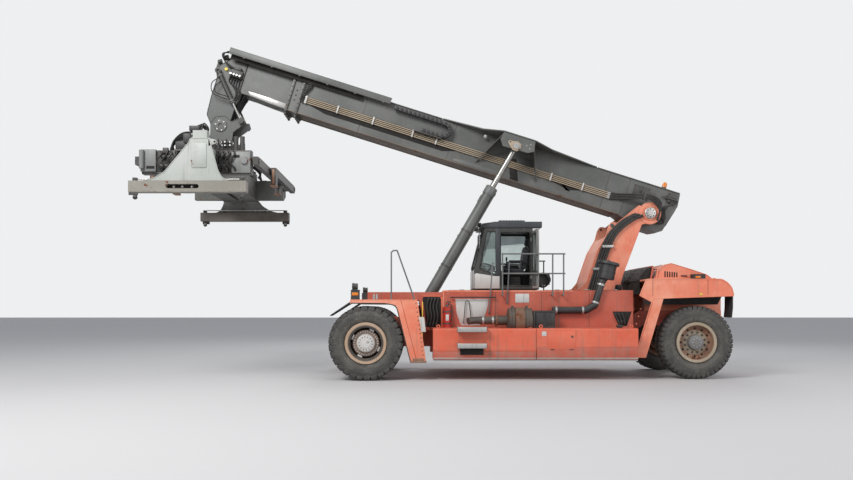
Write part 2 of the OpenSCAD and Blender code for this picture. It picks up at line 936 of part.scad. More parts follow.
// Outer boom: a box tube with its pivot tube, wings for the lift cylinders and front collars
module outer_boom() {
    tube_r = 170;
    wing_y = 1060;
    wing_thick = 22;
    rear_along = -330;
    knee = [300, -343];
    half = boom_w / 2;
    inner_y = half - boom_wall - seat;
    low_n = boom_bottom_n + boom_wall;
    high_n = boom_top_n - boom_wall;
    color("gray")
        in_boom() {
            // Side plates, and an end of the pivot tube on each
            both_sides() {
                difference() {
                    boom_plate([
                        [-620, boom_top_n], [-650, 400], [-470, -272], [rear_along, -343], knee,
                        [700, boom_bottom_n], [boom_front, boom_bottom_n], [boom_front, boom_top_n]
                    ], boom_wall, -half + boom_wall / 2);
                    cross_bar(pin_r + seat, 1200, 0, 0);
                }
                difference() {
                    cross_bar(tube_r, 555 - half - seat, 0, 0, -(555 + half + seat) / 2);
                    cross_bar(pin_r + seat, 1200, 0, 0);
                }
            }
            difference() {
                cross_bar(tube_r, 2 * inner_y, 0, 0);
                cross_bar(pin_r + seat, 1200, 0, 0);
            }
            // Closed rear end, top plate and bottom plates between the sides
            boom_plate([[-620, boom_top_n], [-650, 400], [-470, -272], [rear_along - seat, -343], [rear_along - seat, boom_top_n]],
                2 * inner_y);
            block([-boom_front, -inner_y, high_n], [-rear_along, inner_y, boom_top_n]);
            block([-boom_front, -inner_y, boom_bottom_n], [-700 - seat, inner_y, low_n]);
            boom_plate([knee, [700, boom_bottom_n], [700, low_n], [knee[0], knee[1] + boom_wall]], 2 * inner_y);
            boom_plate([[rear_along, knee[1]], [knee[0] - seat, knee[1]], [knee[0] - seat, knee[1] + boom_wall],
                [rear_along, knee[1] + boom_wall]], 2 * inner_y);
            // Collars at the front end, each of four bars
            for (along = [boom_front - 20, boom_front - 270]) {
                for (n = [boom_bottom_n - 30, boom_top_n + seat]) {
                    block([-along - 20, -half - 30, n], [-along + 20, half + 30, n + 30 - seat]);
                }
                both_sides()
                    block([-along - 20, -half - 30, boom_bottom_n], [-along + 20, -half - seat, boom_top_n]);
            }
            both_sides() {
                // Wing over the lift cylinder: top plate, outer ear and two gussets
                for (s = [
                    [[-5400, -half + 60], [-5400, -half], [-4400, -620], [-4400, -half + 60]],
                    [[-4400 + seat, -half + 60], [-4400 + seat, -620], [-3930, -wing_y], [-3160, -wing_y], [-2700, -700],
                        [-2700, -half + 60]],
                    [[-2700 + seat, -half + 60], [-2700 + seat, -700], [-1500, -half], [-1500, -half + 60]]
                ]) {
                    translate([0, 0, boom_top_n + seat])
                        linear_extrude(wing_thick)
                            polygon(s);
                }
                boom_plate([
                    [3930, boom_top_n], [3960, 520], [3860, 380], [3250, 400], [3124, 470], [3160, boom_top_n]
                ], 36, -wing_y + 18);
                gusset([3900, boom_top_n], [4345, -60], wing_y);
                gusset([3180, boom_top_n], [2790, -60], wing_y);
                // Side pads for the inner boom
                block([-boom_front, -half + boom_wall + seat, 0], [-boom_front + 300, -inner_w / 2 - seat, 400]);
            }
            // Lower pad for the inner boom
            block([-boom_front, -200, low_n + seat], [-boom_front + 300, 200, inner_bottom_n - seat]);
        }
}

// Pipes along both sides of the boom, with their clamps
module boom_pipes() {
    y = boom_w / 2 + 40;
    ends = [8700, 1000];
    pipe_r = 14;
    clamps = [8700, 7900, 7000, 6000, 5400, 2500, 1700];
    color("tan")
        in_boom()
            both_sides() {
                for (i = [0 : 3]) {
                    bar(on_boom(ends[0], -y, pipe_low_n + i * pipe_step), on_boom(ends[1], -y, pipe_low_n + i * pipe_step), pipe_r);
                }
                for (along = clamps) {
                    block([-along - 15, -y - 22, pipe_low_n - 24], [-along + 15, -boom_w / 2 - seat, pipe_low_n + 150]);
                }
            }
}

// Inner boom with the neck plates that hold the head pin
module inner_boom() {
    half = inner_w / 2;
    side_in = half - boom_wall - seat;
    block_half = neck_y - 20 - seat;
    head_start = inner_front + seat;
    plug = 100;
    color("gray")
        in_boom() {
            // Box tube of four plates, closed at its front end
            block([-inner_front, -half, inner_top_n - boom_wall], [-inner_rear, half, inner_top_n]);
            block([-inner_front, -half, inner_bottom_n], [-inner_rear, half, inner_bottom_n + boom_wall]);
            both_sides()
                block([-inner_front, -half, inner_bottom_n + boom_wall + seat],
                    [-inner_rear, -half + boom_wall, inner_top_n - boom_wall - seat]);
            block([-inner_front, -side_in, inner_bottom_n + boom_wall + seat],
                [-inner_front + plug, side_in, inner_top_n - boom_wall - seat]);
            // Closed head block
            boom_plate([
                [head_start, inner_bottom_n], [head_start, inner_top_n], [10780, inner_top_n], [10950, 300], [10950, 100],
                [10330, inner_bottom_n]
            ], 2 * block_half);
            // Rear pads that run inside the outer boom
            for (n = [inner_top_n + seat, inner_bottom_n - pad_gap + seat]) {
                block([-inner_rear - 200, -200, n], [-inner_rear, 200, n + pad_gap - 2 * seat]);
            }
            // Neck plates with the bores of the head pin
            both_sides()
                difference() {
                    union() {
                        boom_plate([
                            [10780, 560], [10990, 330], [11010, 160], [10955, 60], [10955, -430], [10925, -890],
                            [10700, -1150], [10400, -1150], [10333, -916], [10324, -563], [head_start, -200],
                            [head_start, 560]
                        ], 40, -neck_y);
                        cross_bar(200, 56, -head_along, head_n, -neck_y);
                    }
                    cross_bar(head_pin_r + seat, 100, -head_along, head_n, -neck_y);
                }
            both_sides()
                cross_bar(30, damper_y - 5 - neck_y - 20 - seat, -damper_top[0], damper_top[1],
                    -(damper_y - 5 + neck_y + 20 + seat) / 2);
            // Front plate of the neck
            boom_plate([
                [10955, 100 - seat], [10955, -430], [10925, -890], [10900, -890], [10930, -430], [10930, 100 - seat]
            ], 2 * block_half);
        }
}

// Trough on the left side that carries the hoses of the inner boom
module hose_tray() {
    y = -boom_w / 2 - 130;
    color("lightgray")
        in_boom() {
            difference() {
                block([-10780, y - 60, inner_top_n + seat], [-6720, y + 60, inner_top_n + 130]);
                block([-10781, y - 50, inner_top_n + 14], [-6719, y + 61, inner_top_n + 120]);
            }
            // Bracket on the boom's head
            for (along = [10600, 10300]) {
                block([-along - 100, y, inner_top_n + seat], [-along, -100, inner_top_n + 14]);
            }
        }
}

// Work lamps under the boom's head
module boom_lamps() {
    color("black")
        in_boom()
            both_sides()
                block([-11060, -250, 240], [-10950 - seat, -90, 400]);
}

// Barrel of a lift cylinder, from its lower eye
module lift_barrel() {
    top = boom_point(lift_top_along, -lift_y, lift_top_n);
    low = [lift_low_x, -lift_y, lift_low_z];
    dir = (top - low) / norm(top - low);
    difference() {
        union() {
            cross_bar(130, 200, low[0], low[2], low[1]);
            bar(low + 60 * dir, low + 171 * dir, 95);
            bar(low + 170 * dir, low + lift_barrel_len * dir, lift_barrel_r);
            bar(low + (lift_barrel_len - 200) * dir, low + lift_barrel_len * dir, lift_barrel_r + 7);
        }
        cross_bar(lift_pin_r + seat, 220, low[0], low[2], low[1]);
        bar(low + (lift_rod_start - 1000) * dir, low + (lift_barrel_len + 1) * dir, lift_rod_r + seat);
    }
}

// Rod of a lift cylinder, up to the eye that the boom's wing holds
module lift_rod() {
    top = boom_point(lift_top_along, -lift_y, lift_top_n);
    low = [lift_low_x, -lift_y, lift_low_z];
    dir = (top - low) / norm(top - low);
    cross_bar(lift_eye_r, 180, top[0], top[2], top[1]);
    cross_bar(62, 300, top[0], top[2], top[1]);
    bar(low + lift_rod_start * dir, top, lift_rod_r);
}

module lift_barrel_left() {
    color("gray")
        from_axle()
            lift_barrel();
}

module lift_barrel_right() {
    color("gray")
        from_axle()
            mirror([0, 1, 0])
                lift_barrel();
}

module lift_rod_left() {
    color("silver")
        from_axle()
            lift_rod();
}

module lift_rod_right() {
    color("silver")
        from_axle()
            mirror([0, 1, 0])
                lift_rod();
}

// Its children placed from the head pin, with X rearwards and Z up
module from_head() {
    from_axle()
        translate([head_x, 0, head_z])
            children();
}

// Yoke that hangs from the head pin, with the levers of the damping cylinders
module head_yoke() {
    lug_y_in = neck_y + 40;
    color("gray")
        from_head() {
            cross_bar(head_pin_r, 2 * lug_y_in + 60, 0, 0);
            both_sides()
                plate([
                    [-250, 40], [-120, 230], [120, 230], [260, 90], [480, 190], [570, 190], [610, 60], [520, 0],
                    [300, -160], [260, -420], [-260, -420]
                ], 30, -lug_y_in - 15);
            block([-260, -lug_y_in - 30, -ring_drop], [260, lug_y_in + 30, -ring_drop + 40]);
            translate([0, 0, -ring_drop - 50])
                cylinder(r = 480, h = 51, $fn = 64);
        }
}

// Barrels of the two damping cylinders, hung from the boom's head
module damper_barrels() {
    top = boom_point(damper_top[0], -damper_y, damper_top[1]);
    low = [head_x + damper_low[0], -damper_y, head_z + damper_low[1]];
    dir = (low - top) / norm(low - top);
    color("gray")
        from_axle()
            both_sides()
                difference() {
                    union() {
                        bar(top, top + 850 * dir, 58);
                        cross_bar(72, 80, top[0], top[2], top[1]);
                    }
                    cross_bar(30 + seat, 130, top[0], top[2], top[1]);
                    bar(top + 100 * dir, top + 851 * dir, damper_rod_r + seat);
                }
}

// Rods of the two damping cylinders, down to the yoke's levers
module damper_rods() {
    top = boom_point(damper_top[0], -damper_y, damper_top[1]);
    low = [head_x + damper_low[0], -damper_y, head_z + damper_low[1]];
    dir = (low - top) / norm(low - top);
    color("silver")
        from_axle()
            both_sides() {
                bar(top + 430 * dir, low - 30 * dir, damper_rod_r);
                cross_bar(55, 70, low[0], low[2], low[1]);
            }
}

// Turntable under the yoke, with the shoes in which the spreader shifts sideways
module rotator() {
    top = head_z - ring_drop - 50 - seat;
    foot = sleeve_z + sleeve_h + rail_h + seat;
    color("dimgray")
        from_axle() {
            translate([head_x, 0, top - 60])
                cylinder(r = 520, h = 60, $fn = 64);
            block([spread_x - 470, -650, foot], [spread_x + 470, 650, top - 59]);
            // Shoes that hook under the rails
            for (side = [-1, 1]) {
                translate([spread_x + side * (sleeve_x + 105), 0, foot - 40])
                    cube([50, 1200, 120], center = true);
            }
        }
}

// Its children placed from the middle of the spreader at ground height
module from_spreader() {
    from_axle()
        translate([spread_x, 0, 0])
            children();
}

// A sleeve beam of the spreader, hollow and open at both ends
module sleeve(x) {
    half = sleeve_w / 2;
    for (z = [sleeve_z, sleeve_z + sleeve_h - sleeve_wall]) {
        block([x - half, -sleeve_y, z], [x + half, sleeve_y, z + sleeve_wall]);
    }
    for (edge = [x - half, x + half - sleeve_wall]) {
        block([edge, -sleeve_y, sleeve_z + sleeve_wall + seat], [edge + sleeve_wall, sleeve_y, sleeve_z + sleeve_h - sleeve_wall - seat]);
    }
}

// Pads that hold a telescopic beam just inside the left mouth of its sleeve
module sleeve_pads() {
    low = sleeve_z + sleeve_wall + seat;
    high = sleeve_z + sleeve_h - sleeve_wall - seat;
    half = sleeve_w / 2 - sleeve_wall - seat;
    thick = beam_gap - 2 * seat;
    for (y = [-sleeve_y, -sleeve_y + 900]) {
        for (z = [low, high - thick]) {
            block([sleeve_x - half + 40, y, z], [sleeve_x + half - 40, y + 120, z + thick]);
        }
        for (x = [sleeve_x - half, sleeve_x + half - thick]) {
            block([x, y, low + 100], [x + thick, y + 120, high - 100]);
        }
    }
}

// Middle frame of the spreader: two sleeves side by side, cross boxes and leg brackets
module spreader_frame() {
    inner_x = sleeve_x - sleeve_w / 2 - seat;
    x_in = sleeve_x + sleeve_w / 2 + seat;
    x_out = 1200;
    top_z = sleeve_z + sleeve_h;
    color("lightgray")
        from_spreader() {
            sleeve(-sleeve_x);
            sleeve(sleeve_x);
            for (y = [-1900, -700, 700, 1900]) {
                block([-inner_x, y - 60, sleeve_z + 60], [inner_x, y + 60, sleeve_z + 460]);
            }
            for (side = [-1, 1]) {
                for (end = [0, 1]) {
                    y = (end == 0 ? -1 : 1) * leg_pin_y;
                    translate([side * (x_in + x_out) / 2, y, sleeve_z + sleeve_h / 2])
                        cube([x_out - x_in, 200, sleeve_h], center = true);
                    // Pin of the folding leg
                    translate([side * (x_out + seat), y, leg_pin_z])
                        rotate([0, side * 90, 0])
                            cylinder(r = leg_pin_r, h = leg_x[end] + leg_w / 2 + 20 - x_out);
                }
                // Rail on which the turntable's shoes run
                block([side * sleeve_x - 60, -1500, top_z + seat], [side * sleeve_x + 60, 1500, top_z + rail_h]);
            }
            // Pads in the mouth of each sleeve
            for (turn = [0, 180]) {
                rotate([0, 0, turn])
                    sleeve_pads();
            }
        }
}

// A telescopic beam of the left side: box beam, end beam with its lugs, and the gable
module telescopic_beam() {
    w = sleeve_w - 2 * sleeve_wall - 2 * beam_gap;
    h = sleeve_h - 2 * sleeve_wall - 2 * beam_gap;
    z = sleeve_z + sleeve_wall + beam_gap;
    top_z = end_beam_z + end_beam_h;
    end_half_x = 2475 / 2;
    difference() {
        block([sleeve_x - w / 2, -gable_y + 60, z], [sleeve_x + w / 2, 1750, z + h]);
        block([sleeve_x - w / 2 + 14, -lug_y / 2 + 10, z + 14], [sleeve_x + w / 2 - 14, 1751, z + h - 14]);
    }
    // End beam with its slot
    difference() {
        block([-end_half_x, -gable_y, end_beam_z], [end_half_x, -gable_y + end_beam_w, top_z]);
        for (x = [-300, 300]) {
            cross_bar(45, 400, x - 100, end_beam_z + 120, -gable_y);
        }
        block([-400, -gable_y - 100, end_beam_z + 75], [200, -gable_y + 100, end_beam_z + 165]);
    }
    // Gable plate with its curved feet
    plate([
        [-920, top_z - 1], [-700, top_z + 60], [-480, top_z + 190], [30, 5100], [62, 5190], [462, 5190],
        [480, 5100], [640, top_z + 220], [720, top_z + 70], [860, top_z - 1]
    ], 30, -gable_y + 45);
    block([sleeve_x - 150, -gable_y + 31, 5189], [sleeve_x + 150, -gable_y + 260, 5360]);
    block([sleeve_x - 150, -gable_y + 59, z + h - 1], [sleeve_x + 150, -gable_y + 260, 5190]);
    // Twist locks
    for (x = [-lug_x / 2, lug_x / 2]) {
        translate([x, -lug_y / 2, end_beam_z - 40])
            cylinder(r = 28, h = 41);
        translate([x, -lug_y / 2, end_beam_z - 66])
            cube([60, 100, 54], center = true);
    }
}

module beam_left() {
    color("lightgray")
        from_spreader()
            telescopic_beam();
}

module beam_right() {
    color("lightgray")
        from_spreader()
            rotate([0, 0, 180])
                telescopic_beam();
}

// A pair of folded legs, turned inwards from the left end
module leg_pair(x) {
    length = 3000;
    for (side = [-1, 1]) {
        difference() {
            union() {
                block([side * x - leg_w / 2, -leg_pin_y - 100, leg_pin_z - 90],
                    [side * x + leg_w / 2, -leg_pin_y + length, leg_pin_z + 90]);
                block([side * x - leg_w / 2, -leg_pin_y + length - 260, leg_pin_z - 330],
                    [side * x + leg_w / 2, -leg_pin_y + length, leg_pin_z - 89]);
            }
            translate([side * x, -leg_pin_y, leg_pin_z])
                rotate([0, 90, 0])
                    cylinder(r = leg_pin_r + seat, h = leg_w + 2, center = true);
        }
    }
}

module legs_left() {
    color("dimgray")
        from_spreader()
            leg_pair(leg_x[0]);
}

module legs_right() {
    color("dimgray")
        from_spreader()
            mirror([0, 1, 0])
                leg_pair(leg_x[1]);
}

chassis_frame();
front_axle();
front_fenders();
fender_flaps();
side_tanks();
side_sills();
upper_body();
boom_tower();
boom_pin();
rear_axle();
counterweight();
radiator();
engine_block();
exhaust();
air_intake();
deck_rails();
access_steps();
extinguisher();
deck_lamps();
tower_hoses();
cab_shell();
cab_seat();
cab_console();
cab_door();
front_tyres_left();
front_rims_left();
front_tyres_right();
front_rims_right();
knuckle_left();
knuckle_right();
rear_tyre_left();
rear_rim_left();
rear_tyre_right();
rear_rim_right();
steering_rod();
outer_boom();
boom_pipes();
inner_boom();
hose_tray();
boom_lamps();
lift_barrel_left();
lift_barrel_right();
lift_rod_left();
lift_rod_right();
head_yoke();
damper_barrels();
damper_rods();
rotator();
spreader_frame();
beam_left();
beam_right();
legs_left();
legs_right();
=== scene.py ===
"""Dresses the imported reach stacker: finishes for its solids, and the detail that the solids leave out.

Lengths are metres in the frame of the solids: -X forward, -Y the machine's left side, Z up from the ground.
"""

import json
import logging
import math
from dataclasses import dataclass, field
from enum import Enum
from typing import Iterable, Sequence

import bpy
from mathutils import Matrix, Vector


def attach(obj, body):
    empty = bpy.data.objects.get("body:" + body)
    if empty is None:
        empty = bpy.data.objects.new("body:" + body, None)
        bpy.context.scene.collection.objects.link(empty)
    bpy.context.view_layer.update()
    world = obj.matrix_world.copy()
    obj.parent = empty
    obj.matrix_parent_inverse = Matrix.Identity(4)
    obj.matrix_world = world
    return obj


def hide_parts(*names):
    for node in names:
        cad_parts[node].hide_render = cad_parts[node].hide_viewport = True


Point = tuple[float, float, float]
Pair = tuple[float, float]
Colour = tuple[float, float, float]
Socket = bpy.types.NodeSocket
Piece = bpy.types.Object

logging.basicConfig(level=logging.INFO, format="%(message)s")
LOG = logging.getLogger("stacker")

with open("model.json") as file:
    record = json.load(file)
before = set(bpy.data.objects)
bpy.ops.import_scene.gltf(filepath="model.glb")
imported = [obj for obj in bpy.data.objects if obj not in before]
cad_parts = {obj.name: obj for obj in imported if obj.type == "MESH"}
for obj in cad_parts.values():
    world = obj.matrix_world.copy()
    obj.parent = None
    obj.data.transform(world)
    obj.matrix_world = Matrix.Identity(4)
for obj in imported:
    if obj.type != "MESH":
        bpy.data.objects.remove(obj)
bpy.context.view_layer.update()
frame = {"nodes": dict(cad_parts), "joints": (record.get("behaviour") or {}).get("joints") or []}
JOINTS = {joint["name"]: joint for joint in frame["joints"]}

AXLE_X = JOINTS["wheel_turn_front_left"]["pos_m"][0]
AXLE_Z = JOINTS["wheel_turn_front_left"]["pos_m"][2]
REAR_X = JOINTS["steer_left"]["pos_m"][0]
PIVOT = Vector(JOINTS["boom_lift"]["pos_m"])
HEAD = Vector(JOINTS["yoke_level"]["pos_m"])
SPREAD_X = JOINTS["beam_slide_left"]["pos_m"][0]
BOOM_TILT = math.radians(17.5)
LEFT, RIGHT = -1.0, 1.0
AHEAD: Point = (-1, 0, 0)
BACK: Point = (1, 0, 0)
TO_LEFT: Point = (0, -1, 0)
OUTWARD: Point = (0, 1, 0)
UP: Point = (0, 0, 1)
STILL = Matrix.Identity(4)
HALF_TURN = Matrix.Rotation(math.pi, 4, "Z")
BEVEL_ANGLE = 40.0
SMOOTH_ANGLE = 38.0
PIPE_SMOOTH_ANGLE = 50.0
CHAMFER = 0.003
WEATHER_COLOURS = ("Ground", "Faded", "Dust", "Rust")
WEATHER_SHARES = ("Fading", "Streaks", "Dusting", "Rusting", "Edges", "Gloss")


def puck(radius: float, height: float) -> list[Pair]:
    """The section of a round plate or bar that starts at height 0."""
    return [(0, 0), (radius, 0), (radius, height), (0, height)]


def hoop(inner: float, outer: float, low: float, high: float) -> list[Pair]:
    """The section of a ring between two radii and two heights."""
    return [(inner, low), (outer, low), (outer, high), (inner, high)]


def evenly(count: int, start: float, pitch: float) -> list[tuple[int, float]]:
    """Numbers from 0, each with its place in an even row."""
    return [(i, start + pitch * i) for i in range(count)]


def boom_frame() -> Matrix:
    """The place of the boom's own frame: main pin, -X forward along it, Z square to it."""
    return Matrix.Translation(PIVOT) @ Matrix.Rotation(BOOM_TILT, 4, "Y")


class Blend(Enum):
    """How two colours are mixed."""

    MIX = "MIX"
    MULTIPLY = "MULTIPLY"


class Graph:
    """Short names for making and joining shader nodes in one tree."""

    def __init__(self, tree: bpy.types.NodeTree) -> None:
        """Keeps the material's or the group's tree."""
        self.tree = tree

    def feed(self, socket: Socket, value: object) -> None:
        """Joins an output to a socket, or sets the socket's own value.

        Args:
            socket: the input.
            value: an output socket, a number or a colour.
        """
        if isinstance(value, Socket):
            self.tree.links.new(value, socket)
        elif isinstance(value, tuple) and len(value) == 3 and socket.type == "RGBA":
            socket.default_value = (*value, 1.0)
        else:
            socket.default_value = value

    def feeds(self, node: bpy.types.Node, values: dict[str | int, object]) -> None:
        """Feeds several of a node's inputs, by name or number."""
        for name, value in values.items():
            self.feed(node.inputs[name], value)

    def node(self, kind: str, inputs: dict[str | int, object] | None = None,
             **values: object) -> bpy.types.Node:
        """Adds a node, sets its properties and feeds its inputs.

        Args:
            kind: the node's type, without the words ShaderNode.
            inputs: what its inputs get, by name or number.
            values: properties by name.

        Returns:
            The new node.
        """
        made = self.tree.nodes.new("ShaderNode" + kind)
        for name, value in values.items():
            setattr(made, name, value)
        self.feeds(made, inputs or {})
        return made

    def math(self, operation: str, a: object, b: object = 0.0, clamp: bool = False) -> Socket:
        """Works out one value from two.

        Args:
            operation: the node's operation.
            a: first value or output.
            b: second value or output.
            clamp: whether the result stays between 0 and 1.

        Returns:
            The result's socket.
        """
        return self.node("Math", {0: a, 1: b}, operation=operation, use_clamp=clamp).outputs[0]

    def times(self, a: object, b: object, clamp: bool = False) -> Socket:
        """The product of two values."""
        return self.math("MULTIPLY", a, b, clamp)

    def plus(self, a: object, b: object, clamp: bool = False) -> Socket:
        """The sum of two values."""
        return self.math("ADD", a, b, clamp)

    def minus(self, a: object, b: object, clamp: bool = False) -> Socket:
        """The difference of two values."""
        return self.math("SUBTRACT", a, b, clamp)

    def mix(self, share: object, a: object, b: object, blend: Blend = Blend.MIX) -> Socket:
        """Mixes two colours.

        Args:
            share: how much of b, from 0 to 1.
            a: first colour.
            b: second colour.
            blend: the way of mixing.

        Returns:
            The mixed colour's socket.
        """
        return self.node("Mix", {0: share, 6: a, 7: b}, data_type="RGBA", blend_type=blend.value).outputs[2]

    def noise(self, vector: object, scale: float, detail: float, rough: float) -> Socket:
        """Adds a noise texture and returns its grey value.

        Args:
            vector: the coordinates' socket.
            scale: cells per metre.
            detail: octaves.
            rough: weight of the fine octaves.

        Returns:
            The value's socket.
        """
        inputs = {"Vector": vector, "Scale": scale, "Detail": detail, "Roughness": rough}
        return self.node("TexNoise", inputs).outputs[0]

    def ramp(self, value: object, low: object, high: object) -> Socket:
        """Maps a value to 0 below low and to 1 above high.

        Args:
            value: the value's socket.
            low: where the ramp starts.
            high: where it ends.

        Returns:
            The ramp's socket.
        """
        inputs = {"Value": value, "From Min": low, "From Max": high}
        return self.node("MapRange", inputs, clamp=True, interpolation_type="SMOOTHSTEP").outputs[0]

    def place(self) -> Socket:
        """The coordinates in the piece's own frame."""
        return self.node("TexCoord").outputs["Object"]

    def axes(self, vector: object) -> bpy.types.bpy_prop_collection:
        """The X, Y and Z values of a vector, by name."""
        return self.node("SeparateXYZ", {0: vector}).outputs

    def bump(self, shader: bpy.types.Node, height: object, strength: float, depth: float) -> None:
        """Gives a shader its relief.

        Args:
            shader: the shader node.
            height: the relief's height.
            strength: how strongly it shows.
            depth: its depth in metres.
        """
        made = self.node("Bump", {"Strength": strength, "Distance": depth, "Height": height})
        self.feed(shader.inputs["Normal"], made.outputs[0])


class Groups:
    """Shader node groups, each built once."""

    def __init__(self) -> None:
        """Starts with no group built."""
        self.made: dict[str, bpy.types.NodeTree] = {}

    @staticmethod
    def _start(name: str, inputs: dict[str, str],
               outputs: dict[str, str]) -> tuple[Graph, dict, bpy.types.Node]:
        """Makes an empty group with its sockets.

        Args:
            name: the group's name.
            inputs: kind of each input by its title.
            outputs: kind of each output by its title.

        Returns:
            The graph, the inputs' sockets by title, and the output node.
        """
        tree = bpy.data.node_groups.new(name, "ShaderNodeTree")
        for way, sockets in (("INPUT", inputs), ("OUTPUT", outputs)):
            for title, kind in sockets.items():
                tree.interface.new_socket(title, in_out=way, socket_type="NodeSocket" + kind)
        entry, leave = tree.nodes.new("NodeGroupInput"), tree.nodes.new("NodeGroupOutput")
        return Graph(tree), {title: entry.outputs[title] for title in inputs}, leave

    def weather(self) -> bpy.types.NodeTree:
        """Fading, streaks, dust, rust and worn edges over one ground colour."""
        if "weather" in self.made:
            return self.made["weather"]
        graph, given, leave = self._start(
            "weather",
            dict.fromkeys(WEATHER_COLOURS, "Color") | dict.fromkeys(WEATHER_SHARES, "Float"),
            {"Color": "Color", "Roughness": "Float", "Height": "Float", "Bare": "Float"})
        place = graph.place()
        solid = graph.node("NewGeometry")
        facing = graph.axes(solid.outputs["Normal"])["Z"]
        height = graph.axes(place)["Z"]
        upward = graph.ramp(facing, 0.25, 0.95)
        sideways = graph.minus(1.0, graph.math("ABSOLUTE", facing), True)
        # Sun-bleached clouds and small blotches
        clouds = graph.ramp(graph.noise(place, 0.9, 5.0, 0.6), 0.36, 0.68)
        blotch = graph.ramp(graph.noise(place, 9.0, 6.0, 0.65), 0.45, 0.75)
        fade = graph.times(graph.plus(clouds, graph.times(blotch, 0.35), True), given["Fading"])
        colour = graph.mix(fade, given["Ground"], given["Faded"])
        # Rain streaks down the upright faces
        drawn = graph.node("Mapping", {"Vector": place, "Scale": (9.0, 9.0, 0.45)}).outputs[0]
        streak = graph.ramp(graph.noise(drawn, 1.6, 6.0, 0.7), 0.52, 0.76)
        streak = graph.times(graph.times(streak, sideways), given["Streaks"])
        colour = graph.mix(streak, colour, graph.mix(0.55, given["Dust"], (0.03, 0.024, 0.02)))
        # Road dirt near the ground and dust on what faces up
        low = graph.plus(height, graph.times(graph.noise(place, 2.5, 5.0, 0.6), 1.1))
        low = graph.ramp(low, 2.1, 0.75)
        settle = graph.plus(upward, graph.times(low, 0.75), True)
        settle = graph.times(settle, graph.ramp(graph.noise(place, 4.0, 8.0, 0.65), 0.3, 0.75))
        dust = graph.times(settle, given["Dusting"], True)
        colour = graph.mix(dust, colour, given["Dust"])
        # Edges rubbed bare, from a rounded normal against the true one
        bevel = graph.node("Bevel", {"Radius": 0.014}, samples=4)
        inputs = {0: bevel.outputs[0], 1: solid.outputs["Normal"]}
        dot = graph.node("VectorMath", inputs, operation="DOT_PRODUCT").outputs["Value"]
        edge = graph.ramp(graph.minus(1.0, dot), 0.02, 0.16)
        chips = graph.ramp(graph.noise(place, 26.0, 7.0, 0.7), 0.42, 0.6)
        worn = graph.times(graph.times(edge, chips), given["Edges"], True)
        # Rust in patches and along the worn edges
        level = graph.minus(0.86, graph.times(given["Rusting"], 0.46))
        patch = graph.plus(graph.noise(place, 3.2, 9.0, 0.68), graph.times(edge, 0.06))
        patch = graph.ramp(patch, level, graph.plus(level, 0.06))
        bare = graph.math("MAXIMUM", worn, patch)
        dark = graph.mix(0.6, given["Rust"], (0.02, 0.012, 0.008))
        rust = graph.mix(graph.noise(place, 42.0, 6.0, 0.6), given["Rust"], dark)
        colour = graph.mix(bare, colour, rust)
        # A fine mottle over everything
        mottle = graph.noise(place, 60.0, 4.0, 0.6)
        speckle = graph.mix(mottle, (0.55, 0.55, 0.55), (1.25, 1.25, 1.25))
        colour = graph.mix(0.22, colour, speckle, Blend.MULTIPLY)
        dull = graph.math("MAXIMUM", dust, bare)
        rough = graph.plus(given["Gloss"], graph.times(graph.minus(mottle, 0.5), 0.18))
        fine, waves = graph.noise(place, 170.0, 3.0, 0.6), graph.noise(place, 1.6, 2.0, 0.5)
        relief = graph.minus(graph.times(fine, 0.18), graph.times(bare, 0.6))
        graph.feeds(leave, {"Color": colour, "Roughness": graph.plus(rough, graph.times(dull, 0.38), True),
                            "Height": graph.plus(relief, graph.times(waves, 1.6)), "Bare": bare})
        self.made["weather"] = graph.tree
        return graph.tree

    def radius(self, graph: Graph, axle_x: float) -> Socket:
        """Distance from a wheel's axle, for the rings of dust on tyres and the painted shade ring in the
        front rims.

        Args:
            graph: the graph that asks for it.
            axle_x: the axle's place along the machine.

        Returns:
            The distance's socket.
        """
        if "wheel_rings" not in self.made:
            inner, given, leave = self._start(
                "wheel_rings", {"Axle X": "Float", "Axle Z": "Float"}, {"Radius": "Float"})
            place = inner.axes(inner.place())
            x, z = (inner.minus(place[axis], given["Axle " + axis]) for axis in "XZ")
            square = inner.plus(inner.times(x, x), inner.times(z, z))
            inner.feed(leave.inputs["Radius"], inner.math("SQRT", square))
            self.made["wheel_rings"] = inner.tree
        made = graph.node("Group", node_tree=self.made["wheel_rings"])
        graph.feeds(made, {"Axle X": axle_x, "Axle Z": AXLE_Z})
        return made.outputs["Radius"]


GROUPS = Groups()


@dataclass(frozen=True)
class Zone:
    """A band of heights, or a ring about an axle, whose paint differs; on the front rims the ring is painted
    shade in the recess.
    """

    low: float
    high: float
    ground: Colour
    faded: Colour
    axle_x: float | None = None

    def mask(self, graph: Graph) -> Socket:
        """The share of the other paint, 1 within the band."""
        value = graph.axes(graph.place())["Z"] if self.axle_x is None else GROUPS.radius(graph, self.axle_x)
        return graph.times(graph.math("GREATER_THAN", value, self.low),
                           graph.math("LESS_THAN", value, self.high))


@dataclass(frozen=True)
class Finish:
    """What all finishes share: a name, and the start of a material."""

    name: str

    def start(self) -> tuple[bpy.types.Material, Graph, bpy.types.Node]:
        """Makes the material, and gives it with its graph and its shader node."""
        material = bpy.data.materials.new("look_" + self.name)
        material.use_nodes = True
        return material, Graph(material.node_tree), material.node_tree.nodes["Principled BSDF"]


